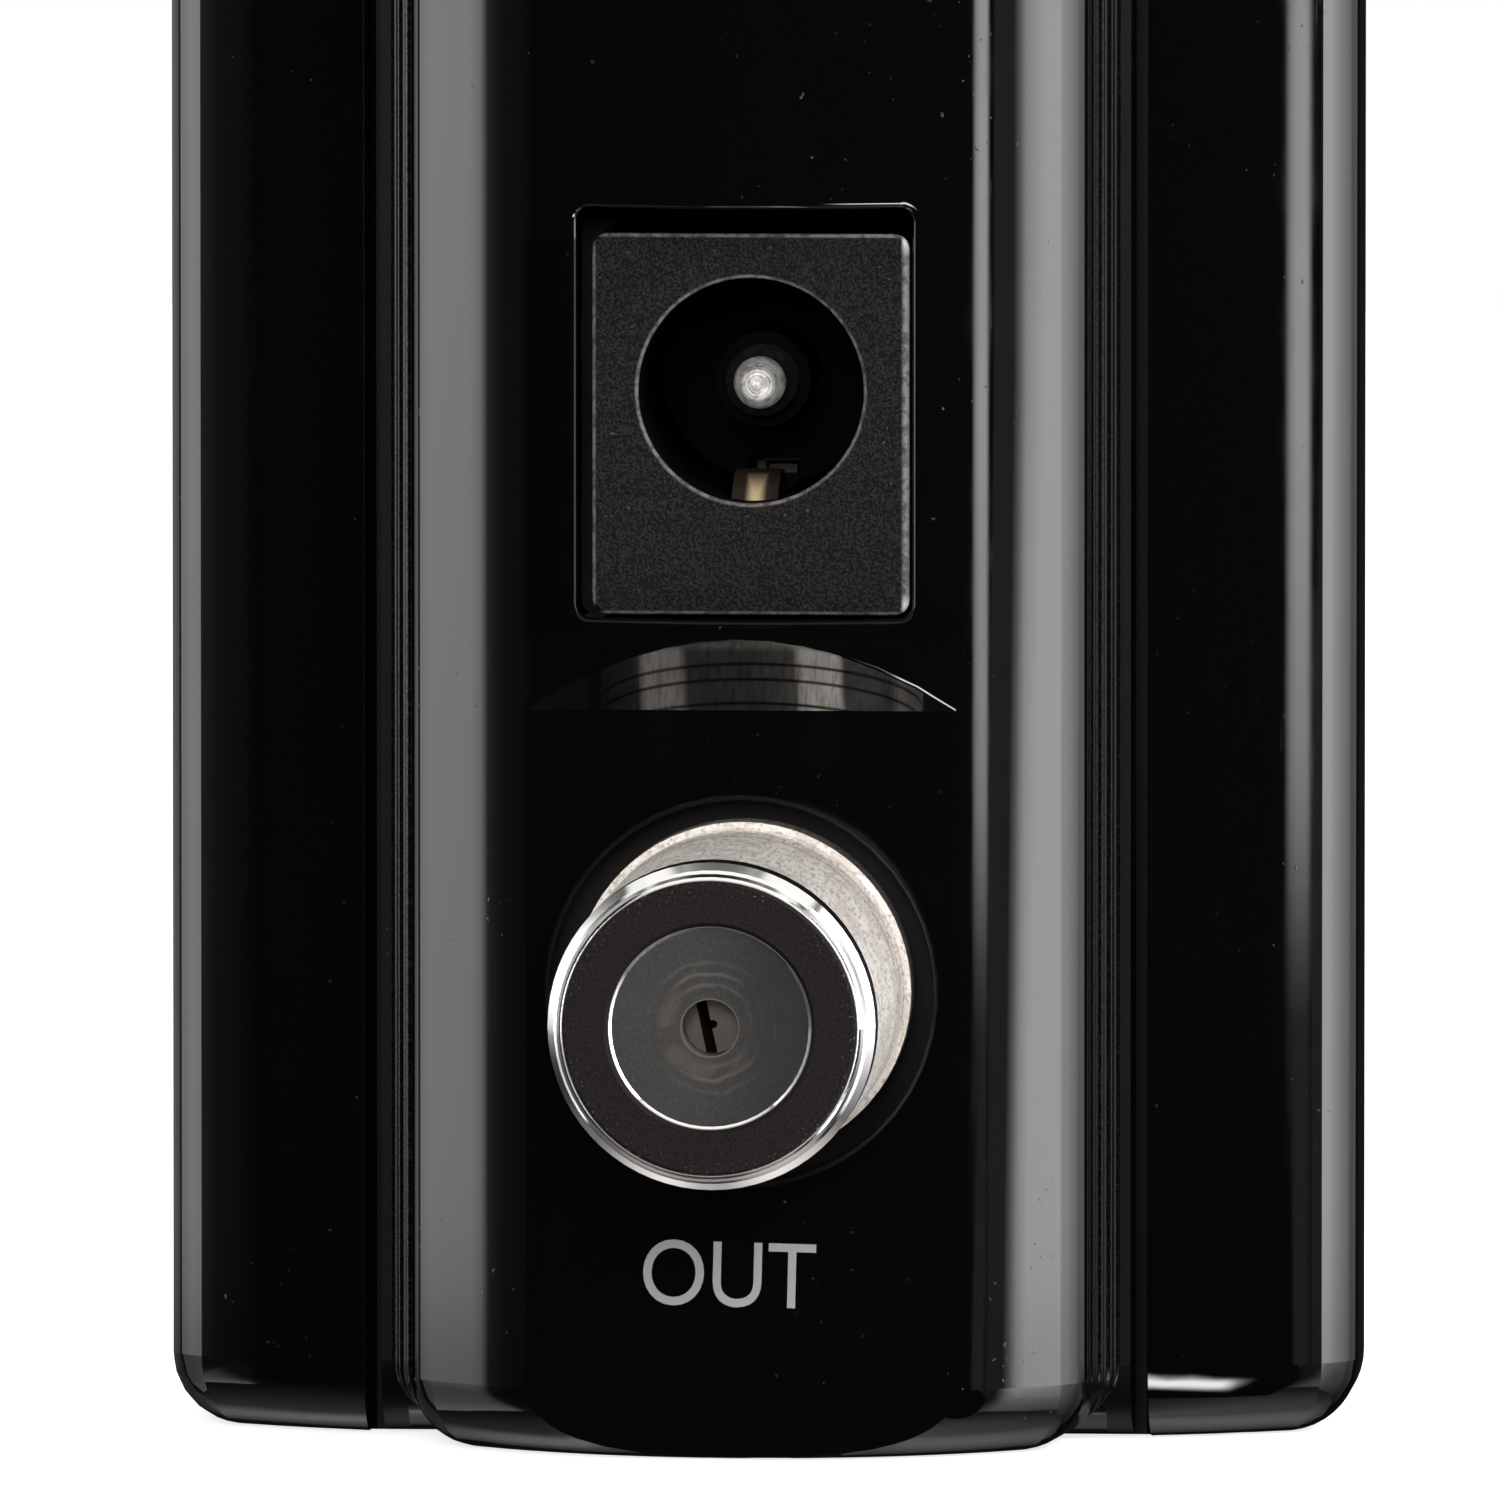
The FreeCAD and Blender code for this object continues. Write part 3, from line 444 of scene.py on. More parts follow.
def flat_panel(name, width, place, material):
    form = bmesh.new()
    bmesh.ops.create_grid(form, x_segments=1, y_segments=1, size=width / 2, matrix=place)
    gloss_only(link_piece(name, form, material))


def low_lamp_strength(tree):
    """Brightest in the middle, with soft edges."""
    _, x, y, z = place_parts(tree)
    elevation = calc("DEGREES", calc("ARCTAN2", z, length_of(x, y)))
    across = round_angle(x, y) - low_lamp_azimuth
    upwards = abs(elevation - (across * low_lamp_tilt + low_lamp_elevation))
    light = rise(abs(across), *low_lamp_sides, low_lamp_light, 0.0)
    return light * fall(upwards, *low_lamp_rows)


low_lamp_place = facing(low_lamp_azimuth, low_lamp_elevation, low_lamp_distance)
low_lamp_material = glow_material("low_lamp", (1, 1, 1), low_lamp_strength)
flat_panel("low_lamp", low_lamp_size, low_lamp_place, low_lamp_material)
overhead_colour = (1, 0.985, 0.96)
overhead_material = glow_material("overhead_panel", overhead_colour, lambda tree: overhead_light)
overhead_matrix = Matrix.Translation(overhead_place)
flat_panel("overhead_panel", overhead_size, overhead_matrix, overhead_material)


def area_light(name, place, target, size, power, colour):
    data = bpy.data.lights.new(name, "AREA")
    data.shape = "RECTANGLE"
    data.size, data.size_y = size
    data.energy = power
    data.color = colour
    lamp = bpy.data.objects.new(name, data)
    lamp.location = place
    lamp.rotation_mode = "QUATERNION"
    lamp.rotation_quaternion = (target - Vector(place)).to_track_quat("-Z", "Y")
    bpy.context.scene.collection.objects.link(lamp)


key_target = Vector((0, -0.01, 0.02))
front_target = Vector((0, -0.01, 0.03))
area_light("key_light", (0.42, -0.36, 0.42), key_target, (0.3, 0.3), 4.2, (1, 0.97, 0.93))
area_light("front_light", (0, -0.55, 0.16), front_target, (0.16, 0.16), 1.6, (1, 0.98, 0.96))


# Housing
# Three mouldings in glossy black ABS with fine dust and hairlines: the front shell, the back
# frame with its two wings, and the spine cover. The narrow strips beside the spine keep a fine
# eroded grain. A dull film lies on the ramp, and the rims of the hole and window shine less.
def noise(place, scale, detail=2.0, rough=0.5, stretch=None):
    """Noise over the surface; stretch scales it along each axis first."""
    tree = place.tree
    if stretch:
        stretched = add_node(tree, "ShaderNodeVectorMath", operation="MULTIPLY")
        feed(stretched.inputs[0], place)
        feed(stretched.inputs[1], stretch)
        place = stretched.outputs[0]
    node = add_node(tree, "ShaderNodeTexNoise")
    values = {"Vector": place, "Scale": scale, "Detail": detail, "Roughness": rough}
    for name, value in values.items():
        feed(node.inputs[name], value)
    return Field(node.outputs["Fac"])


def streaks(place, scales, rough=0.6, detail=2.0):
    """Noise drawn out into streaks, by its scale along each axis."""
    return noise(place, 1.0, detail, rough, scales)


def between(mask, first, second):
    """A value that goes from first to second as the mask goes from 0 to 1."""
    return rise(mask, 0.0, 1.0, first, second)


def blend(factor, first, second):
    """A colour between first and second."""
    node = add_node(factor.tree, "ShaderNodeMix", data_type="RGBA")
    feed(node.inputs["Factor"], factor)
    for socket, value in ((node.inputs[6], first), (node.inputs[7], second)):
        feed(socket, value if isinstance(value, Field) else (*value, 1))
    return Field(node.outputs[2])


def wear_group():
    """Soft clouds, fine grain, sparse dust and hairlines over a surface."""
    group = bpy.data.node_groups.new("fine_wear", "ShaderNodeTree")
    group.interface.new_socket("Place", in_out="INPUT", socket_type="NodeSocketVector")
    place = Field(add_node(group, "NodeGroupInput").outputs["Place"])
    specks = rise(noise(place, 5200, 1.0, 0.4), 0.75, 0.8)
    dusty = rise(noise(place, 180, 2.0, 0.5), 0.5, 0.7)
    line = fall(abs(streaks(place, (3800, 3800, 90), 0.5) - 0.5), 0.0, 0.012)
    scratched = rise(noise(place, 420, 1.0, 0.5), 0.5, 0.7)
    fields = {
        "Cloud": noise(place, 260, 3.0, 0.55),
        "Grain": noise(place, 9000, 2.0, 0.6),
        "Dust": specks * dusty,
        "Hairlines": line * scratched,
    }
    leave = add_node(group, "NodeGroupOutput")
    for name, value in fields.items():
        group.interface.new_socket(name, in_out="OUTPUT", socket_type="NodeSocketFloat")
        feed(leave.inputs[name], value)
    return group


fine_wear = wear_group()


class Surface:
    """A material with one Principled shader, and the object coordinates over it."""

    def __init__(self, name, **values):
        self.material = new_material(name)
        tree = self.material.node_tree
        output = add_node(tree, "ShaderNodeOutputMaterial")
        self.shader = add_node(tree, "ShaderNodeBsdfPrincipled")
        feed(output.inputs["Surface"], self.shader.outputs[0])
        self.place, self.x, self.y, self.z = place_parts(tree)
        self.set(**values)

    def set(self, **values):
        """Feeds sockets of the shader: base_color is the socket Base Color."""
        for name, value in values.items():
            title = name.replace("_", " ").title().replace("Ior", "IOR")
            feed(self.shader.inputs[title], value)

    @cached_property
    def wear(self):
        """The fine wear over this surface: Cloud, Grain, Dust and Hairlines."""
        node = add_node(self.place.tree, "ShaderNodeGroup", node_tree=fine_wear)
        feed(node.inputs["Place"], self.place)
        return {output.name: Field(output) for output in node.outputs}

    def cloudy(self, low, high):
        """A value that drifts between low and high with the soft clouds."""
        return rise(self.wear["Cloud"], 0.3, 0.7, low, high)

    def bump(self, height, strength, depth):
        """Raises the surface by a height field, depth metres at most."""
        node = add_node(height.tree, "ShaderNodeBump")
        for name, value in (("Height", height), ("Strength", strength), ("Distance", depth)):
            feed(node.inputs[name], value)
        self.set(normal=node.outputs["Normal"])

    def dress(self, *names):
        """Gives the material to CAD nodes."""
        for name in names:
            for slot in cad[name].material_slots:
                slot.material = self.material


spine_front_y = -6 * mm
strip_inner_x = 9.95 * mm
strip_outer_x = 11 * mm
strip_front_y = -2.5 * mm
ramp_middle_x = 0.05 * mm
ramp_foot_z = 19.6 * mm
ramp_top_z = 23.3 * mm
ramp_half_width = 4.6 * mm
ramp_film_stops = [
    (0, 0.17),
    (1.5 * mm, 0.18),
    (1.75 * mm, 0.85),
    (2.7 * mm, 0.85),
    (2.95 * mm, 0.1),
    (ramp_half_width, 0.1),
]
window_left_x = -4.7 * mm
window_foot_z = 23.85 * mm
window_top_z = 34.8 * mm
hole_height = 13.3 * mm
hole_radius = 5.5 * mm
full_polish = 0.5
rim_polish = 0.14
gloss = Surface("housing_gloss", ior=1.5)
side = abs(gloss.x)
strip = rise(side, strip_inner_x, strip_inner_x + 0.05 * mm)
strip = strip * rise(gloss.y, strip_front_y, strip_front_y + 0.1 * mm)
strip = strip * fall(side, strip_outer_x, strip_outer_x + 0.05 * mm)
dust_grey = (0.03, 0.028, 0.027)
gloss.set(base_color=blend(gloss.wear["Dust"], (0.0012, 0.0012, 0.0013), dust_grey))
sheen = gloss.cloudy(0.025, 0.05) + gloss.wear["Hairlines"] * 0.05
gloss.set(roughness=sheen + gloss.wear["Dust"] * 0.12 + strip * 0.3)
relief = gloss.wear["Cloud"] * 0.15 + gloss.wear["Dust"] + gloss.wear["Grain"] * strip
gloss.bump(relief, 0.35, 0.012 * mm)
in_front = fall(gloss.y, spine_front_y, spine_front_y + 0.1 * mm)
ramp_side = abs(gloss.x - ramp_middle_x)
on_ramp = rise(gloss.z, ramp_foot_z, ramp_foot_z + 0.3 * mm)
on_ramp = on_ramp * fall(gloss.z, ramp_top_z - 0.3 * mm, ramp_top_z)
on_ramp = on_ramp * fall(ramp_side, ramp_half_width - 0.4 * mm, ramp_half_width) * in_front
from_hole = length_of(gloss.x, gloss.z - hole_height)
at_rim = fall(abs(from_hole - hole_radius), 0.35 * mm, 0.6 * mm) * in_front
near_window = fall(side, 6 * mm, 6.2 * mm)
window_left = fall(gloss.x, window_left_x, window_left_x + 0.3 * mm) * near_window
window_left = window_left * rise(gloss.z, 24 * mm, 24.2 * mm)
window_foot = fall(abs(gloss.z - window_foot_z), 0.35 * mm, 0.5 * mm)
at_window = calc("MAXIMUM", window_left, window_foot)
at_window = at_window * fall(gloss.z, window_top_z - 0.2 * mm, window_top_z)
at_rim = calc("MAXIMUM", at_rim, at_window * near_window * in_front)
ramp_film = by_stops(ramp_side, ramp_film_stops)
polish = between(at_rim, full_polish, rim_polish) + on_ramp * (ramp_film - full_polish)
gloss.set(specular_ior_level=polish - strip * 0.38)
gloss.dress("front_shell", "back_frame", "spine_cover")

# Foot bead
# A small stepped bead runs down each side of the spine and round its ends, where the steep
# flank meets the narrow strip. It is moulded with the cover and catches two fine lines of light.
bead_flank_x = 9.86 * mm
bead_strip_y = -2.2 * mm
bead_step = 0.25 * mm
bead_radius = 0.2 * mm
bead_starts = (0.08 * mm, 0.34 * mm)
bead_sink = 0.08 * mm
bead_corner_radius = 1.995 * mm
bead_strip_rounding = 2.1 * mm
bead_strip_relief = 0.1 * mm
bead_curve_angle = math.radians(84)
bead_curve_steps = 9
bead_end_heights = (0.7, 0.85, 1.05, 1.25, 1.45, 1.65, 1.95, 2.25)
bead_fade = (0.6, 1.2)
bar_height = cad_box[1][2]


def bead_profile():
    """The bead's outline: (outwards, forwards) from the foot of the flank."""
    points = [(-bead_sink, bead_step + bead_radius)]
    for start, rise_from in zip(bead_starts, (bead_step, 0.0)):
        for step in range(bead_curve_steps):
            angle = bead_curve_angle * (1 - step / (bead_curve_steps - 1))
            outwards = start + bead_radius * (1 - math.sin(angle))
            points.append((outwards, rise_from + bead_radius * (1 - math.cos(angle))))
    return points


def bead_place(height):
    """Where the flank meets the strip at a height: the point, and the ways out and forwards."""
    foot = min(height, bar_height - height)
    sign = 1 if height < bar_height / 2 else -1
    down = max(bead_corner_radius - foot, 0)
    across = math.sqrt(max(bead_corner_radius**2 - down**2, 0))
    sunk = max(bead_strip_rounding + bead_strip_relief - foot, 0)
    level = math.sqrt(max(bead_strip_rounding**2 - sunk**2, 0))
    point_x = bead_flank_x - bead_corner_radius + across
    point = Vector((point_x, bead_strip_y + bead_strip_rounding - level, height))
    out = Vector((across / bead_corner_radius, 0, -sign * down / bead_corner_radius))
    forwards = Vector((0, -level / bead_strip_rounding, -sign * sunk / bead_strip_rounding))
    return point, out, forwards


def extruded(form, edges, row):
    """Extrudes a row of edges. Gives the new edges, and the new vertices in the row's order."""
    grown = bmesh.ops.extrude_edge_only(form, edges=edges)["geom"]
    verts = [part for part in grown if isinstance(part, bmesh.types.BMVert)]
    edges = [part for part in grown if isinstance(part, bmesh.types.BMEdge)]
    edges = [edge for edge in edges if all(vert in grown for vert in edge.verts)]
    order = {vert: index for index, vert in enumerate(row)}
    moved = {}
    for vert in verts:
        for other in (edge.other_vert(vert) for edge in vert.link_edges):
            if other in order:
                moved[order[other]] = vert
    return edges, [moved[index] for index in range(len(row))]


bead_heights = [foot * mm for foot in bead_end_heights]
bead_heights += [bar_height - height for height in reversed(bead_heights)]
bead_form = bmesh.new()
bead_row = []
for height in bead_heights:
    point, out, forwards = bead_place(height)
    share = (min(height, bar_height - height) / mm - bead_fade[0]) / bead_fade[1]
    share = min(max(share, 0), 1)
    spots = [point + (out * one + forwards * two) * share for one, two in bead_profile()]
    if bead_row:
        row_edges, bead_row = extruded(bead_form, row_edges, bead_row)
        for vert, spot in zip(bead_row, spots):
            vert.co = spot
    else:
        bead_row = [bead_form.verts.new(spot) for spot in spots]
        row_edges = [bead_form.edges.new(pair) for pair in zip(bead_row, bead_row[1:])]
whole_bead = bead_form.verts[:] + bead_form.edges[:] + bead_form.faces[:]
bmesh.ops.mirror(bead_form, geom=whole_bead, axis="X")
bmesh.ops.recalc_face_normals(bead_form, faces=bead_form.faces[:])
for face in bead_form.faces:
    if face.normal.y > 0.02:
        face.normal_flip()
bead_black = Surface("bead_black", specular_ior_level=0.08)
bead_grain = bead_black.wear["Grain"]
bead_black.set(
    base_color=blend(
        bead_black.wear["Cloud"], (0.0011, 0.0011, 0.0012), (0.0022, 0.0021, 0.0021)
    ),
    roughness=rise(bead_grain, 0.4, 0.65, 0.1, 0.3),
    specular_ior_level=rise(bead_black.x, -1 * mm, 1 * mm, 0.3, 0.08),
)
bead_black.bump(bead_grain, 0.4, 0.01 * mm)
bead = link_piece("spine_foot_bead", bead_form, bead_black.material, smooth=True)
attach(bead, "root")

# Lettering
# The word OUT under the aerial socket, in plain light grey print on the recessed flat.
# The ink is a thin, slightly uneven pad print.
letter_size = (4.9 * mm, 1.88 * mm, 0.012 * mm)
letter_centre = (-0.33 * mm, -8.0 * mm, 5.28 * mm)
letter_turn = math.radians(1.4)
letter_curve = bpy.data.curves.new("out_lettering", "FONT")
letter_curve.body = "OUT"
letter_curve.extrude = 0.01
letter_curve.resolution_u = 6
letter_source = bpy.data.objects.new("out_lettering_source", letter_curve)
letter_mesh = bpy.data.meshes.new_from_object(letter_source)
bpy.data.objects.remove(letter_source)
bpy.data.curves.remove(letter_curve)
corners = [Vector(vert.co) for vert in letter_mesh.vertices]
low = Vector([min(corner[axis] for corner in corners) for axis in range(3)])
high = Vector([max(corner[axis] for corner in corners) for axis in range(3)])
scales = [wanted / drawn for wanted, drawn in zip(letter_size, high - low)]
upright = Matrix.Rotation(math.radians(90), 4, "X") @ Matrix.Diagonal((*scales, 1))
to_place = Matrix.Translation(letter_centre) @ Matrix.Rotation(letter_turn, 4, "Y")
letter_mesh.transform(to_place @ upright @ Matrix.Translation(-(low + high) / 2))
ink = Surface("lettering_ink", roughness=0.55)
ink.set(base_color=blend(ink.wear["Cloud"], (0.18, 0.182, 0.196), (0.235, 0.237, 0.256)))
ink.bump(ink.wear["Grain"], 0.3, 0.004 * mm)
letter_mesh.materials.clear()
letter_mesh.materials.append(ink.material)
lettering = bpy.data.objects.new("out_lettering", letter_mesh)
bpy.context.scene.collection.objects.link(lettering)
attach(lettering, "root")

# Power socket block
# A square block moulded in matt black nylon, with an even fine grain on its face.
# Its edges and bore rim are lighter, partly rubbed wear and partly a painted edge highlight. The
# right edge and its corners get a stronger painted highlight, and all of the block behind its
# face is darkened as painted shade.
socket_centre = (0.3 * mm, 30.38 * mm)
socket_block_middle_z = 29.43 * mm
socket_half_width = 4.5 * mm
socket_half_height = 5.4 * mm
socket_bore_radius = 3.2 * mm
socket_face_y = -8.3 * mm


def distance_from(x, z, centre):
    """How far a point is from an axis along Y through (x, z), and how far along X and Z."""
    across = x - centre[0]
    upwards = z - centre[1]
    return length_of(across, upwards), across, upwards


def layers(colour, *coats):
    """A colour under coats. Each coat is a mask and the colour that it shows."""
    for mask, coat in coats:
        colour = blend(mask, colour, coat)
    return colour


block = Surface("socket_plastic", specular_ior_level=0.1)
reach, across, _ = distance_from(block.x, block.z, socket_centre)
upwards = abs(block.z - socket_block_middle_z)
edge_gap = calc("MAXIMUM", abs(across) - socket_half_width, upwards - socket_half_height)
edge_line = rise(edge_gap, -0.13 * mm, -0.05 * mm)
rim_line = fall(abs(reach - socket_bore_radius), 0.04 * mm, 0.12 * mm)
near_face = fall(block.y, socket_face_y + 0.1 * mm, socket_face_y + 0.3 * mm)
# Painted shade: all of the block behind its face, in the bore and at its sides, is darkened.
inside = rise(block.y, socket_face_y + 0.12 * mm, socket_face_y + 0.3 * mm)
uneven = rise(noise(block.place, 3500, 2.0, 0.6), 0.35, 0.6, 0.35, 1.0)
# The edges and the bore's rim: partly rubbed wear, partly a painted edge highlight.
rubbed_and_highlit_edges = calc("MAXIMUM", edge_line, rim_line) * near_face * uneven
# Painted highlight: the right edge is lighter, as if lit from the right.
right_edge_highlight = rise(across, socket_half_width - 0.26 * mm, socket_half_width - 0.12 * mm)
right_edge_highlight = right_edge_highlight * near_face
# Painted highlight: brightest near the top and bottom corners of the right edge.
corner = rise(upwards, socket_half_height - 0.7 * mm, socket_half_height - 0.2 * mm)
speckle = rise(noise(block.place, 12500, 2.0, 0.7), 0.42, 0.62)
light_speck = rise(noise(block.place, 5200, 1.0, 0.5), 0.73, 0.78)
block.set(
    base_color=layers(
        blend(speckle, (0.0004, 0.0003, 0.0003), (0.0125, 0.0104, 0.0107)),
        (light_speck, (0.04, 0.036, 0.036)),
        (rubbed_and_highlit_edges, (0.13, 0.125, 0.125)),
        (right_edge_highlight * uneven, (0.16, 0.155, 0.16)),
        (right_edge_highlight * corner, (0.42, 0.41, 0.43)),
        (inside, (0.0015, 0.0013, 0.0013)),
    ),
    roughness=block.cloudy(0.55, 0.68),
    specular_ior_level=between(inside, 0.11, 0.03),
)
block.bump(speckle, 0.5, 0.02 * mm)
block.dress("power_socket_housing")

# Power socket pin
# A turned brass pin, tin plated, with a domed tip and two fine turned grooves behind it.
# It is riveted in the block's plinth and ends in a solder tail. Behind its tip the plating is
# darkened as painted shade.
pin_tip_y = -5.7 * mm
pin_profile = [
    (0.0, 0.0),
    (0.2, 0.02),
    (0.38, 0.08),
    (0.49, 0.17),
    (0.53, 0.26),
    (0.5, 0.3),
    (0.53, 0.34),
    (0.59, 0.4),
    (0.61, 0.48),
    (0.585, 0.53),
    (0.62, 0.58),
    (0.68, 0.7),
    (0.74, 0.95),
    (0.74, 1.2),
    (1.0, 1.55),
    (1.0, 9.0),
]
pin_steps = 64
pin_turned_lines = 62000
tail_size = (0.8 * mm, 5.0 * mm, 0.8 * mm)
tail_middle_y = 4.7 * mm


def lathe(points, axis, start_y, steps):
    """A form turned about a line along Y. Points are (radius, depth) in millimetres."""
    form = bmesh.new()
    spots = [(axis[0] + r * mm, start_y + y * mm, axis[1]) for r, y in points]
    verts = [form.verts.new(spot) for spot in spots]
    edges = [form.edges.new(pair) for pair in zip(verts, verts[1:])]
    bmesh.ops.spin(
        form,
        geom=verts + edges,
        cent=(axis[0], 0, axis[1]),
        axis=(0, 1, 0),
        angle=math.tau,
        steps=steps,
        use_merge=True,
    )
    bmesh.ops.remove_doubles(form, verts=form.verts[:], dist=0.0005 * mm)
    bmesh.ops.recalc_face_normals(form, faces=form.faces[:])
    return form


pin_form = lathe(pin_profile, socket_centre, pin_tip_y, pin_steps)
tail_place = Matrix.Translation((socket_centre[0], tail_middle_y, socket_centre[1]))
tail_place = tail_place @ Matrix.Diagonal((*tail_size, 1))
bmesh.ops.create_cube(pin_form, size=1.0, matrix=tail_place)
plating = Surface("contact_plating", metallic=1.0)
tarnish = rise(noise(plating.place, 3200, 3.0, 0.6), 0.46, 0.62)
reach, _, _ = distance_from(plating.x, plating.z, socket_centre)
# Painted shade: the plating behind the tip, down in the bore, is darkened.
shaded_behind_tip = rise(plating.y, pin_tip_y + 1.0 * mm, pin_tip_y + 1.15 * mm)
plating.set(
    base_color=layers(
        blend(tarnish, (0.9, 0.89, 0.87), (0.5, 0.48, 0.46)),
        (shaded_behind_tip, (0.12, 0.115, 0.11)),
    ),
    metallic=between(shaded_behind_tip, 0.45, 1.0),
    roughness=between(tarnish, 0.55, 0.66),
)
pin_relief = calc("SINE", reach * pin_turned_lines) + plating.wear["Grain"]
plating.bump(pin_relief, 0.4, 0.012 * mm)
pin = link_piece("power_pin", pin_form, plating.material, smooth=True)
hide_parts("power_socket_pin")
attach(pin, "root")
plating.dress("power_socket_side_tag")

# Power socket spring
# The sleeve contact: a rolled brass leaf, bowed up into the bore from below and crowned across.
# Its colour is darkened at both edges, near the top and deep in the slot as painted shade, which
# leaves a painted highlight down its middle.
spring_middle_x = 0.32 * mm
spring_bright_top = 28.0 * mm
spring_front_y = -6.9 * mm
spring = Surface("contact_spring", metallic=0.35)
rolled = streaks(spring.place, (14000, 900, 14000), 0.5)
# Painted shade: the leaf darkens away from its middle, near its top and deep in the slot.
darkened = rise(abs(spring.x - spring_middle_x), 0.04 * mm, 0.34 * mm)
deep = rise(spring.z, spring_bright_top - 0.7 * mm, spring_bright_top)
rear = rise(spring.y, spring_front_y + 0.8 * mm, spring_front_y + 1.6 * mm)
darkened = calc("MAXIMUM", darkened, calc("MAXIMUM", deep, rear))
spring.set(
    base_color=layers(
        blend(spring.wear["Cloud"], (0.66, 0.52, 0.32), (0.52, 0.39, 0.23)),
        (darkened, (0.02, 0.014, 0.008)),
    ),
    roughness=rise(rolled, 0.3, 0.7, 0.4, 0.55),
)
spring.bump(rolled, 0.3, 0.006 * mm)
spring.dress("power_socket_spring")

# Aerial socket barrel
# The outer contact, turned and nickel plated: a polished lip with two rings, a polished band
# behind it, and a speckled satin side with four thin dark rings and a low collar at its foot.
# The face round the core is dark with grime, and the shoulder deep in the housing's hole is
# darkened as painted shade.
barrel_axis = (0.0, 13.3 * mm)
barrel_face_y = -20.3 * mm
barrel_face_radius = 4.05 * mm
chamfer_bright_radius = 2.83 * mm
chamfer_outer_radius = 3.1 * mm
chamfer_depth = 0.3 * mm
polished_length = 1.9 * mm
shoulder_depth = 14.15 * mm
dark_ring_depths = (10.05 * mm, 10.5 * mm, 11.2 * mm, 12.65 * mm)
nickel = Surface("nickel_plating")
reach, _, _ = distance_from(nickel.x, nickel.z, barrel_axis)
depth = nickel.y - barrel_face_y
nickel_grain = noise(nickel.place, 9000, 3.0, 0.65, (1, 0.14, 1))
face_grain = noise(nickel.place, 13000, 2.0, 0.6)
in_chamfer = fall(depth, chamfer_depth - 0.05 * mm, chamfer_depth)
in_chamfer = in_chamfer * fall(reach, chamfer_outer_radius, chamfer_outer_radius + 0.02 * mm)
on_face = calc("MAXIMUM", fall(depth, 0.05 * mm, 0.09 * mm), in_chamfer)
on_face = on_face * rise(reach, chamfer_bright_radius, chamfer_bright_radius + 0.03 * mm)
satin = rise(depth, polished_length, polished_length + 0.1 * mm)
# Painted shade: the shoulder deep in the housing's hole is darkened.
shaded_in_hole = rise(depth, shoulder_depth - 0.02 * mm, shoulder_depth)
# Thin dark rings round the side at four depths.
dark_ring = 0.0
for line_depth in dark_ring_depths:
    line = fall(abs(depth - line_depth), 0.02 * mm, 0.07 * mm)
    dark_ring = calc("MAXIMUM", dark_ring, line)
stains = rise(noise(nickel.place, 900, 3.0, 0.6), 0.42, 0.68) * 0.6
satin_colour = layers(
    blend(rise(nickel_grain, 0.46, 0.66), (0.97, 0.94, 0.9), (0.55, 0.48, 0.42)),
    (stains, (0.6, 0.53, 0.47)),
)
grime = rise(face_grain, 0.35, 0.65)
lip_specks = rise(reach, 3.6 * mm, barrel_face_radius) * rise(face_grain, 0.66, 0.72)
face_colour = layers(
    blend(grime, (0.0035, 0.0024, 0.0025), (0.0095, 0.0068, 0.0072)),
    (lip_specks, (0.16, 0.14, 0.13)),
)
dull = calc("MAXIMUM", on_face, shaded_in_hole)
nickel.set(
    base_color=layers(
        (0.9, 0.89, 0.88),
        (satin, satin_colour),
        (dark_ring, (0.08, 0.06, 0.05)),
        (on_face, face_colour),
        (shaded_in_hole, (0.006, 0.005, 0.005)),
    ),
    metallic=between(satin, 1.0, 0.7) * between(dull, 1.0, 0.0),
    roughness=calc("MAXIMUM", calc("MAXIMUM", satin * 0.42, 0.12), dull * 0.55),
    specular_ior_level=between(dull, 0.5, 0.1),
)
nickel.bump(nickel_grain * calc("MAXIMUM", satin, on_face), 0.4, 0.03 * mm)
nickel.dress("aerial_socket_barrel")

# Aerial socket core and contact
# A pressed-in disc of cloudy grey plastic with faint turned rings and a brown residue round
# its hole, and inside the hole the split end of a tarnished brass tube.
core_hole_radius = 0.8 * mm
core_swirl_radius = 1.65 * mm
core_swirl_lines = 19000
residue_radius = 1.2 * mm
core = Surface("socket_core", specular_ior_level=0.12)
reach, across, upwards = distance_from(core.x, core.z, barrel_axis)
core_cloud = noise(core.place, 620, 3.0, 0.6)
core_grain = noise(core.place, 15000, 2.0, 0.6)
swirl_gap = reach + core_cloud * (0.5 * mm) - core_swirl_radius
swirls = rise(calc("SINE", swirl_gap * core_swirl_lines), 0.1, 1.0)
swirls = swirls * fall(abs(swirl_gap), 0.15 * mm, 0.75 * mm)
swirls = swirls * rise(noise(core.place, 520, 2.0, 0.5), 0.42, 0.6)
residue = rise(noise(core.place, 1100, 3.0, 0.6), 0.42, 0.6)
residue = residue * fall(abs(reach - residue_radius), 0.1 * mm, 0.4 * mm)
residue = residue * rise(across + upwards, -0.6 * mm, 0.6 * mm, 1.0, 0.1)
hole_line = fall(abs(reach - core_hole_radius), 0.01 * mm, 0.05 * mm)
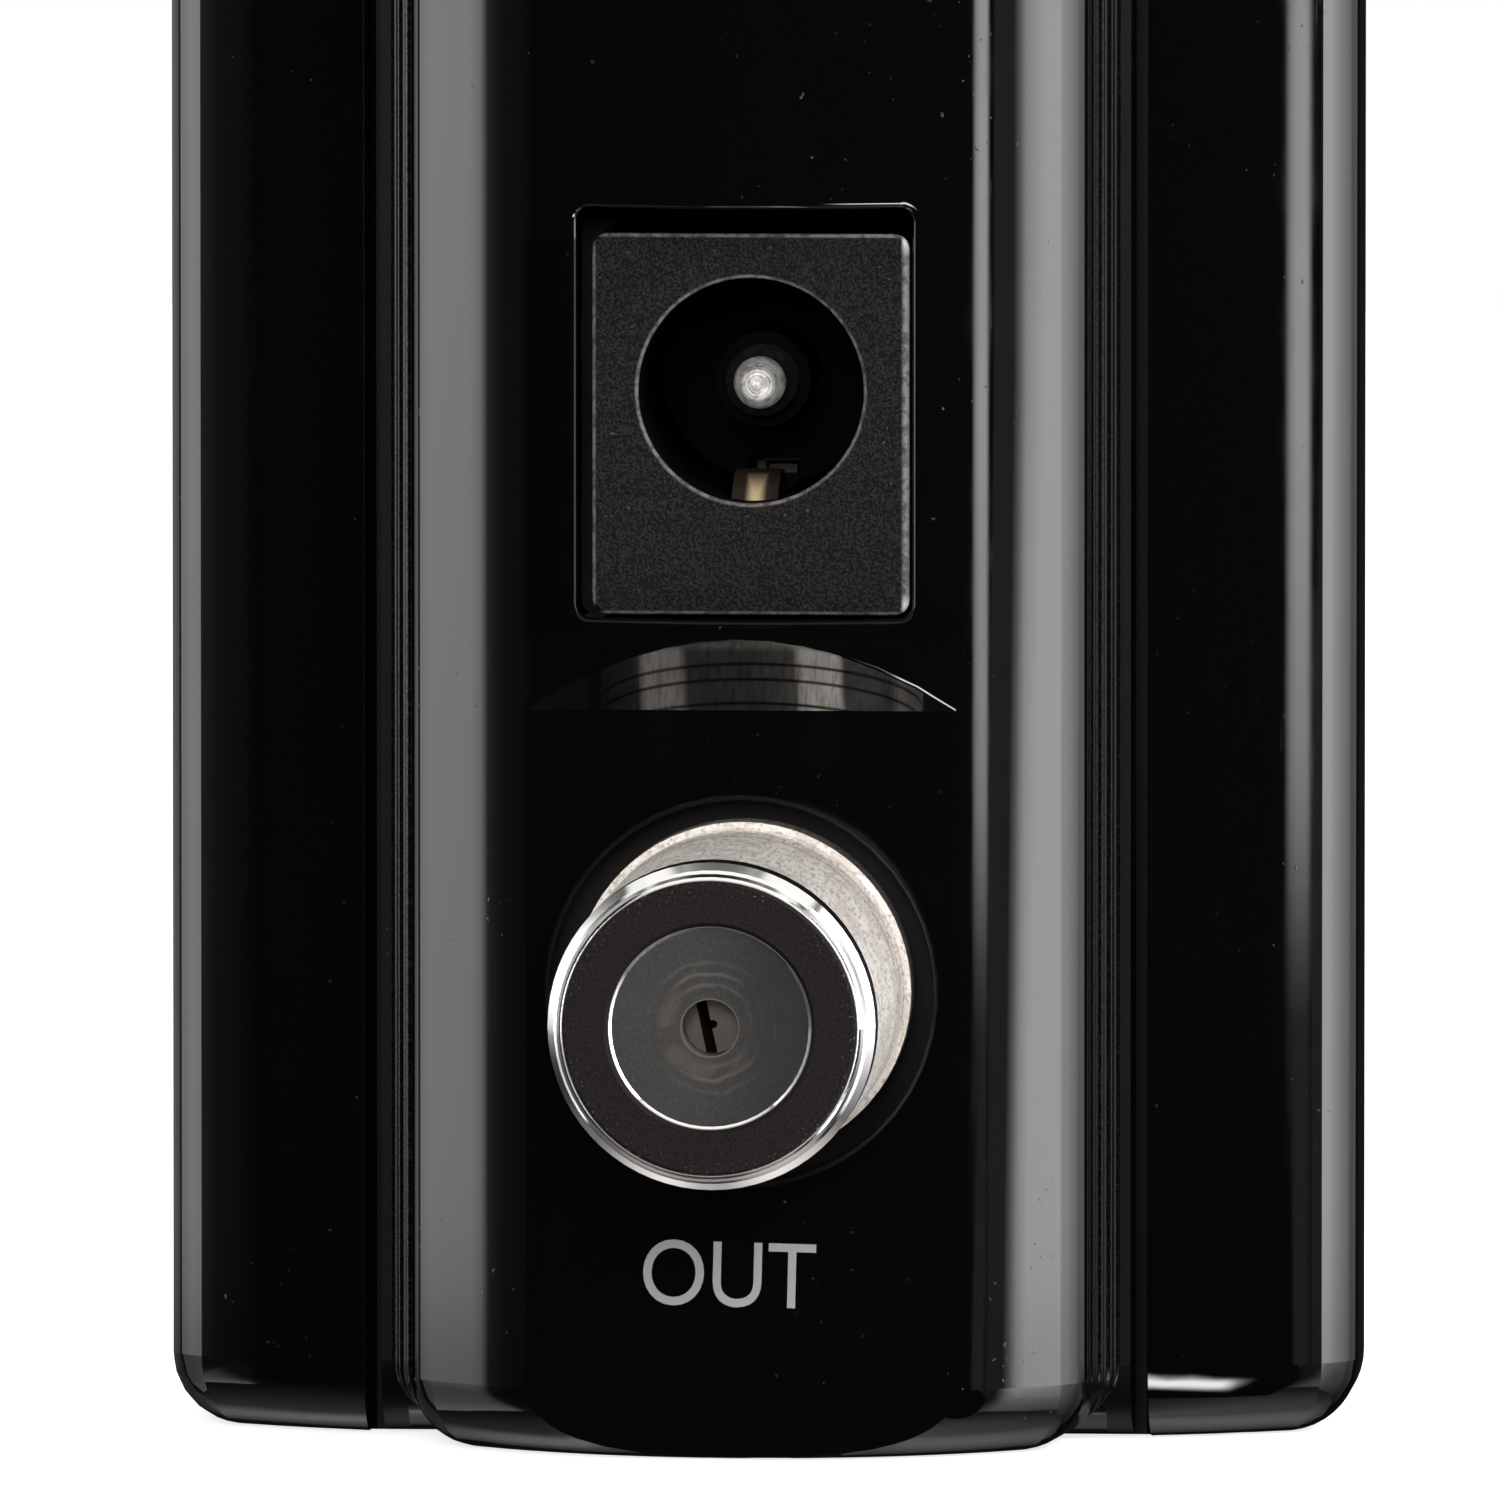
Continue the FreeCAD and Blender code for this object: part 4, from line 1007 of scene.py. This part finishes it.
# Painted shade: the disc darkens towards its right side.
shaded = rise(across, -0.6 * mm, 2.2 * mm, 0.0, 0.55)
core.set(
    base_color=layers(
        blend(core_cloud, (0.021, 0.021, 0.0205), (0.033, 0.0325, 0.0315)),
        (rise(core_grain, 0.5, 0.7), (0.038, 0.037, 0.036)),
        (swirls * 0.6, (0.075, 0.07, 0.065)),
        (residue * 0.4, (0.085, 0.062, 0.045)),
        (hole_line * 0.7, (0.12, 0.108, 0.09)),
        (shaded, (0.006, 0.006, 0.006)),
    ),
    roughness=rise(core_cloud, 0.3, 0.7, 0.42, 0.58),
)
core.bump(swirls + core_grain, 0.25, 0.01 * mm)
core.dress("aerial_socket_insulator")

contact = Surface("tarnished_brass", metallic=0.2)
stain = noise(contact.place, 1800, 3.0, 0.65)
contact.set(
    base_color=blend(stain, (0.035, 0.028, 0.021), (0.115, 0.098, 0.078)),
    roughness=rise(stain, 0.3, 0.7, 0.45, 0.65),
)
contact.bump(stain, 0.4, 0.02 * mm)
contact.dress("aerial_socket_contact")

# Aerial socket base
# The zinc block that the barrel is pressed into, die cast and dull plated. Its flow lines and
# chill marks stay under the plating, and its legs are wetted with solder.
solder_y = 6.28 * mm
cast = Surface("cast_base", metallic=0.9)
flow = noise(cast.place, 520, 4.0, 0.6, (1.0, 1.0, 2.6))
soldered = rise(cast.y, solder_y, solder_y + 0.06 * mm)
cast.set(
    base_color=layers(
        blend(rise(flow, 0.35, 0.65), (0.36, 0.36, 0.37), (0.56, 0.56, 0.55)),
        (soldered, (0.7, 0.7, 0.71)),
    ),
    roughness=cast.cloudy(0.36, 0.55) - soldered * 0.2,
)
cast.bump(flow + cast.wear["Grain"], 0.5, 0.03 * mm)
cast.dress("aerial_socket_base")

# Main board
# A long strip of glass-fibre laminate, 1.6 mm thick, under green solder mask. Its routed edges
# show the bare yellowish cloth, and a tinned ring surrounds each leg that comes through.
board_faces = (4.7 * mm, 6.3 * mm)
socket_pads = [(0.3, 30.38), (0.3, 27.03), (4.0, 28.78)]
aerial_pads = [(-4.2, 9.1), (-4.2, 17.5), (4.2, 9.1), (4.2, 17.5), (0.0, 13.3)]
pad_radius = 0.95 * mm
weave_pitch = 15000
board = Surface("board_laminate")
weave = calc("SINE", board.x * weave_pitch) * calc("SINE", board.z * weave_pitch)
pad_gap = 1.0
for pad_x, pad_z in aerial_pads + socket_pads:
    gap, _, _ = distance_from(board.x, board.z, (pad_x * mm, pad_z * mm))
    pad_gap = calc("MINIMUM", pad_gap, gap)
on_pad = fall(pad_gap, pad_radius, pad_radius + 0.05 * mm)
on_pad = on_pad * rise(board.y, board_faces[1] - 0.1 * mm, board_faces[1] - 0.05 * mm)
sawn = calc("MINIMUM", board.y - board_faces[0], board_faces[1] - board.y)
sawn = rise(sawn, 0.02 * mm, 0.05 * mm)
fibres = streaks(board.place, (900, 14000, 900))
board.set(
    base_color=layers(
        blend(board.wear["Cloud"], (0.003, 0.022, 0.008), (0.006, 0.036, 0.013)),
        (rise(weave, 0.2, 1.0, 0.0, 0.35), (0.01, 0.05, 0.02)),
        (on_pad, (0.62, 0.62, 0.6)),
        (sawn, blend(fibres, (0.28, 0.26, 0.1), (0.5, 0.47, 0.24))),
    ),
    roughness=board.cloudy(0.28, 0.42) + sawn * 0.4,
    metallic=on_pad * between(sawn, 1.0, 0.0),
)
board.bump(weave + board.wear["Grain"], 0.2, 0.012 * mm)
board.dress("main_board")

# Copper arms
# The two arms of the aerial are loops of bare copper foil on the back of the board.
# The foil has a fine rolled grain, and has browned unevenly where it was handled.
copper = Surface("copper_foil", metallic=1.0)
darkened = rise(noise(copper.place, 170, 4.0, 0.6), 0.42, 0.66)
copper.set(
    base_color=blend(darkened, (0.87, 0.48, 0.3), (0.5, 0.24, 0.13)),
    roughness=between(darkened, 0.24, 0.42) + copper.wear["Hairlines"] * 0.1,
)
copper.bump(streaks(copper.place, (16000, 16000, 700)), 0.3, 0.006 * mm)
copper.dress("lower_radiator", "upper_radiator")

# Shield can
# A lid folded from thin tinplate and soldered round its foot. The rolled grain runs along the
# bar, the tin is mottled, and a dull seam of solder follows the edge at the board.
can_foot_y = 4.7 * mm
tin = Surface("tinplate", metallic=1.0)
spangle = add_node(tin.place.tree, "ShaderNodeTexVoronoi", feature="F1")
feed(spangle.inputs["Vector"], tin.place)
feed(spangle.inputs["Scale"], 420)
mottle = rise(Field(spangle.outputs["Distance"]), 0.1, 0.8)
seam = rise(tin.y, can_foot_y - 0.35 * mm, can_foot_y - 0.15 * mm)
tin.set(
    base_color=layers(
        blend(mottle, (0.66, 0.66, 0.67), (0.5, 0.5, 0.51)),
        (seam, (0.36, 0.36, 0.37)),
    ),
    roughness=tin.cloudy(0.24, 0.36) + seam * 0.2,
)
tin.bump(streaks(tin.place, (11000, 11000, 400)) + seam, 0.3, 0.01 * mm)
tin.dress("shield_can")

# Chip and regulator
# Both are black epoxy moulded round a tinned lead frame. The moulding is finely matt from its
# spark-eroded tool, and the leads are bright tin that has dulled a little at the bends.
chip_body_half = 2.0 * mm
regulator_body_foot = 38.03 * mm
regulator_top = 41.3 * mm
epoxy = Surface("chip_moulding")
chip_lead = rise(abs(epoxy.x), chip_body_half, chip_body_half + 0.02 * mm)
regulator_lead = fall(epoxy.z, regulator_body_foot - 0.02 * mm, regulator_body_foot)
lead_choice = add_node(epoxy.place.tree, "ShaderNodeMix")
feed(lead_choice.inputs["Factor"], fall(epoxy.z, regulator_top, regulator_top + 0.1 * mm))
feed(lead_choice.inputs[2], chip_lead)
feed(lead_choice.inputs[3], regulator_lead)
on_lead = Field(lead_choice.outputs[0])
epoxy_cloud = epoxy.wear["Cloud"]
epoxy.set(
    base_color=blend(
        on_lead,
        blend(epoxy_cloud, (0.011, 0.011, 0.0115), (0.022, 0.0215, 0.021)),
        blend(epoxy_cloud, (0.72, 0.72, 0.71), (0.55, 0.55, 0.54)),
    ),
    metallic=on_lead,
    roughness=epoxy.cloudy(0.55, 0.68) - on_lead * 0.3,
)
epoxy.bump(epoxy.wear["Grain"], 0.4, 0.012 * mm)
epoxy.dress("amplifier_chip", "voltage_regulator")

# Chip components
# Small fired ceramic blocks, alike in size, each with a tinned cap at both ends.
# The ceramic is a warm brown with fine pores, and the caps are wetted with solder.
component_heights = (43.73, 50.13, 57.68, 61.43, 65.18)
component_body_half = 0.52 * mm
ceramic = Surface("chip_ceramic")
middle_gap = 1.0
for height in component_heights:
    middle_gap = calc("MINIMUM", middle_gap, abs(ceramic.z - height * mm))
on_cap = rise(middle_gap, component_body_half, component_body_half + 0.04 * mm)
pores = rise(noise(ceramic.place, 7000, 2.0, 0.6), 0.58, 0.7)
ceramic.set(
    base_color=layers(
        blend(ceramic.wear["Cloud"], (0.26, 0.16, 0.085), (0.36, 0.24, 0.14)),
        (pores, (0.14, 0.085, 0.045)),
        (on_cap, (0.66, 0.66, 0.65)),
    ),
    metallic=on_cap,
    roughness=ceramic.cloudy(0.26, 0.42),
)
ceramic.bump(pores, 0.3, 0.01 * mm)
ceramic.dress("chip_components")

# Smoothing capacitor
# A drawn aluminium can on a square black base. One side of the can carries the dark printed
# band of its negative end. The drawn metal has fine lines along the can.
capacitor_axis = (4.5 * mm, 39.23 * mm)
capacitor_base_y = 4.2 * mm
capacitor_top_y = -1.2 * mm
capacitor_band = 2.1 * mm
capacitor = Surface("capacitor_can")
drawn = streaks(capacitor.place, (9000, 350, 9000))
_, across, _ = distance_from(capacitor.x, capacitor.z, capacitor_axis)
on_band = rise(across, capacitor_band, capacitor_band + 0.05 * mm)
on_band = on_band * rise(capacitor.y, capacitor_top_y + 0.3 * mm, capacitor_top_y + 0.4 * mm)
on_base = rise(capacitor.y, capacitor_base_y - 0.02 * mm, capacitor_base_y)
painted = calc("MAXIMUM", on_band, on_base)
capacitor.set(
    base_color=layers(
        blend(rise(drawn, 0.35, 0.65), (0.8, 0.8, 0.81), (0.66, 0.66, 0.67)),
        (on_band, (0.02, 0.02, 0.022)),
        (on_base, (0.016, 0.016, 0.016)),
    ),
    metallic=between(painted, 1.0, 0.0),
    roughness=capacitor.cloudy(0.2, 0.32) + painted * 0.25,
)
capacitor.bump(drawn, 0.25, 0.008 * mm)
capacitor.dress("smoothing_capacitor")

# Ferrites
# The drum choke between the sockets and the two-hole balun core, both pressed from powder and
# sintered. The surface is dark grey and finely porous.
ferrite = Surface("ferrite")
pores = rise(noise(ferrite.place, 4200, 3.0, 0.65), 0.5, 0.68)
ferrite.set(
    base_color=layers(
        blend(ferrite.wear["Cloud"], (0.018, 0.018, 0.0195), (0.036, 0.036, 0.038)),
        (pores, (0.008, 0.008, 0.0085)),
    ),
    roughness=between(pores, 0.42, 0.7),
)
ferrite.bump(pores, 0.6, 0.02 * mm)
ferrite.dress("input_choke", "balun_core")

# Balun windings
# Two hairpins of enamelled copper wire, 0.6 mm thick. The enamel is a clear reddish brown over
# the bright drawn wire, which shows its fine lengthwise draw lines.
enamel = Surface("winding_wire", metallic=0.75, coat_weight=0.8, coat_roughness=0.08)
wire_lines = streaks(enamel.place, (12000, 12000, 500))
enamel.set(
    base_color=blend(enamel.wear["Cloud"], (0.55, 0.19, 0.07), (0.72, 0.3, 0.12)),
    roughness=rise(wire_lines, 0.3, 0.7, 0.22, 0.36),
)
enamel.bump(wire_lines, 0.25, 0.008 * mm)
enamel.dress("balun_windings")

# Feed cable
# A thin screened lead in a soft black sleeve, stripped to its tinned core at both ends.
# The sleeve has the faint lengthwise die lines of extruded plastic, and is slightly greasy.
sleeve_start = 71.13 * mm
sleeve_end = 102.13 * mm
cable = Surface("cable_jacket")
before_sleeve = fall(cable.z, sleeve_start - 0.02 * mm, sleeve_start)
bared = calc("MAXIMUM", before_sleeve, rise(cable.z, sleeve_end, sleeve_end + 0.02 * mm))
cable.set(
    base_color=layers(
        blend(cable.wear["Cloud"], (0.011, 0.011, 0.011), (0.02, 0.0195, 0.019)),
        (bared, (0.74, 0.72, 0.69)),
    ),
    metallic=bared,
    roughness=cable.cloudy(0.38, 0.52),
)
cable.bump(streaks(cable.place, (8000, 8000, 200)), 0.3, 0.012 * mm)
cable.dress("feed_cable")

# Supply lamp and light guide
# A small white-bodied lamp with a clear yellowish resin face, and the clear acrylic plug that
# brings its light to the front. The plug's stem is fire polished and its flange is satin.
lamp_resin_y = 6.75 * mm
lamp_end_gap = 1.25 * mm
lamp_middle_z = 61.93 * mm
lamp = Surface("lamp_body", coat_weight=0.4, coat_roughness=0.12)
resin = rise(lamp.y, lamp_resin_y, lamp_resin_y + 0.03 * mm)
lamp_cap = rise(abs(lamp.z - lamp_middle_z), lamp_end_gap, lamp_end_gap + 0.03 * mm)
lamp.set(
    base_color=layers(
        blend(resin, (0.78, 0.77, 0.74), (0.62, 0.5, 0.16)),
        (rise(lamp.wear["Cloud"], 0.4, 0.7, 0.0, 0.25), (0.5, 0.42, 0.25)),
        (lamp_cap, (0.72, 0.7, 0.64)),
    ),
    metallic=lamp_cap,
    roughness=lamp.cloudy(0.25, 0.4),
)
lamp.bump(lamp.wear["Grain"], 0.2, 0.01 * mm)
lamp.dress("power_led")

guide_flange_y = 7.86 * mm
guide = Surface("light_guide_clear", transmission_weight=1.0, ior=1.49)
on_flange = fall(guide.y, guide_flange_y, guide_flange_y + 0.02 * mm)
guide.set(
    base_color=blend(guide.wear["Cloud"], (0.93, 0.95, 0.96), (0.88, 0.9, 0.9)),
    roughness=between(guide.wear["Hairlines"], 0.02, 0.15) + on_flange * 0.35,
)
guide.bump(guide.wear["Cloud"], 0.15, 0.02 * mm)
guide.dress("light_guide")

# Ballast bars
# Two lengths of drawn steel flat laid in pockets at the foot. Plain mill finish with draw lines
# along the bar, dark scale at the sawn ends and a few freckles of rust.
ballast_foot = 1.6 * mm
ballast_top = 69.6 * mm
steel = Surface("ballast_steel")
draw_lines = streaks(steel.place, (7000, 7000, 150), 0.6, 3.0)
rust = rise(noise(steel.place, 900, 4.0, 0.65), 0.6, 0.7)
rust = rust * rise(noise(steel.place, 120, 2.0, 0.5), 0.5, 0.66)
end_gap = calc("MINIMUM", steel.z - ballast_foot, ballast_top - steel.z)
steel.set(
    base_color=layers(
        blend(rise(draw_lines, 0.35, 0.65), (0.34, 0.34, 0.345), (0.46, 0.455, 0.45)),
        (fall(end_gap, 0.02 * mm, 0.3 * mm), (0.2, 0.19, 0.185)),
        (rust, (0.2, 0.075, 0.03)),
    ),
    metallic=between(rust, 1.0, 0.0),
    roughness=steel.cloudy(0.3, 0.46) + rust * 0.4,
)
steel.bump(draw_lines + rust, 0.3, 0.015 * mm)
steel.dress("ballast_bars")

# Housing screws
# Three pan-head screws with crossed slots, zinc plated with a faint blue and yellow cast.
# The thread shows on the shank as fine ridges, 0.8 mm apart.
screw_seat_y = 0.3 * mm
thread_pitch = 0.8 * mm
screw = Surface("screw_steel", metallic=1.0)
cast_tint = rise(noise(screw.place, 420, 2.0, 0.5), 0.4, 0.6)
screw.set(
    base_color=blend(cast_tint, (0.6, 0.63, 0.67), (0.66, 0.63, 0.55)),
    roughness=screw.cloudy(0.2, 0.34),
)
turns = calc("SINE", screw.y * (math.tau / thread_pitch))
turns = turns * rise(screw.y, screw_seat_y, screw_seat_y + 0.1 * mm)
screw.bump(turns + screw.wear["Grain"] * 0.1, 0.6, 0.08 * mm)
screw.dress("housing_screws")
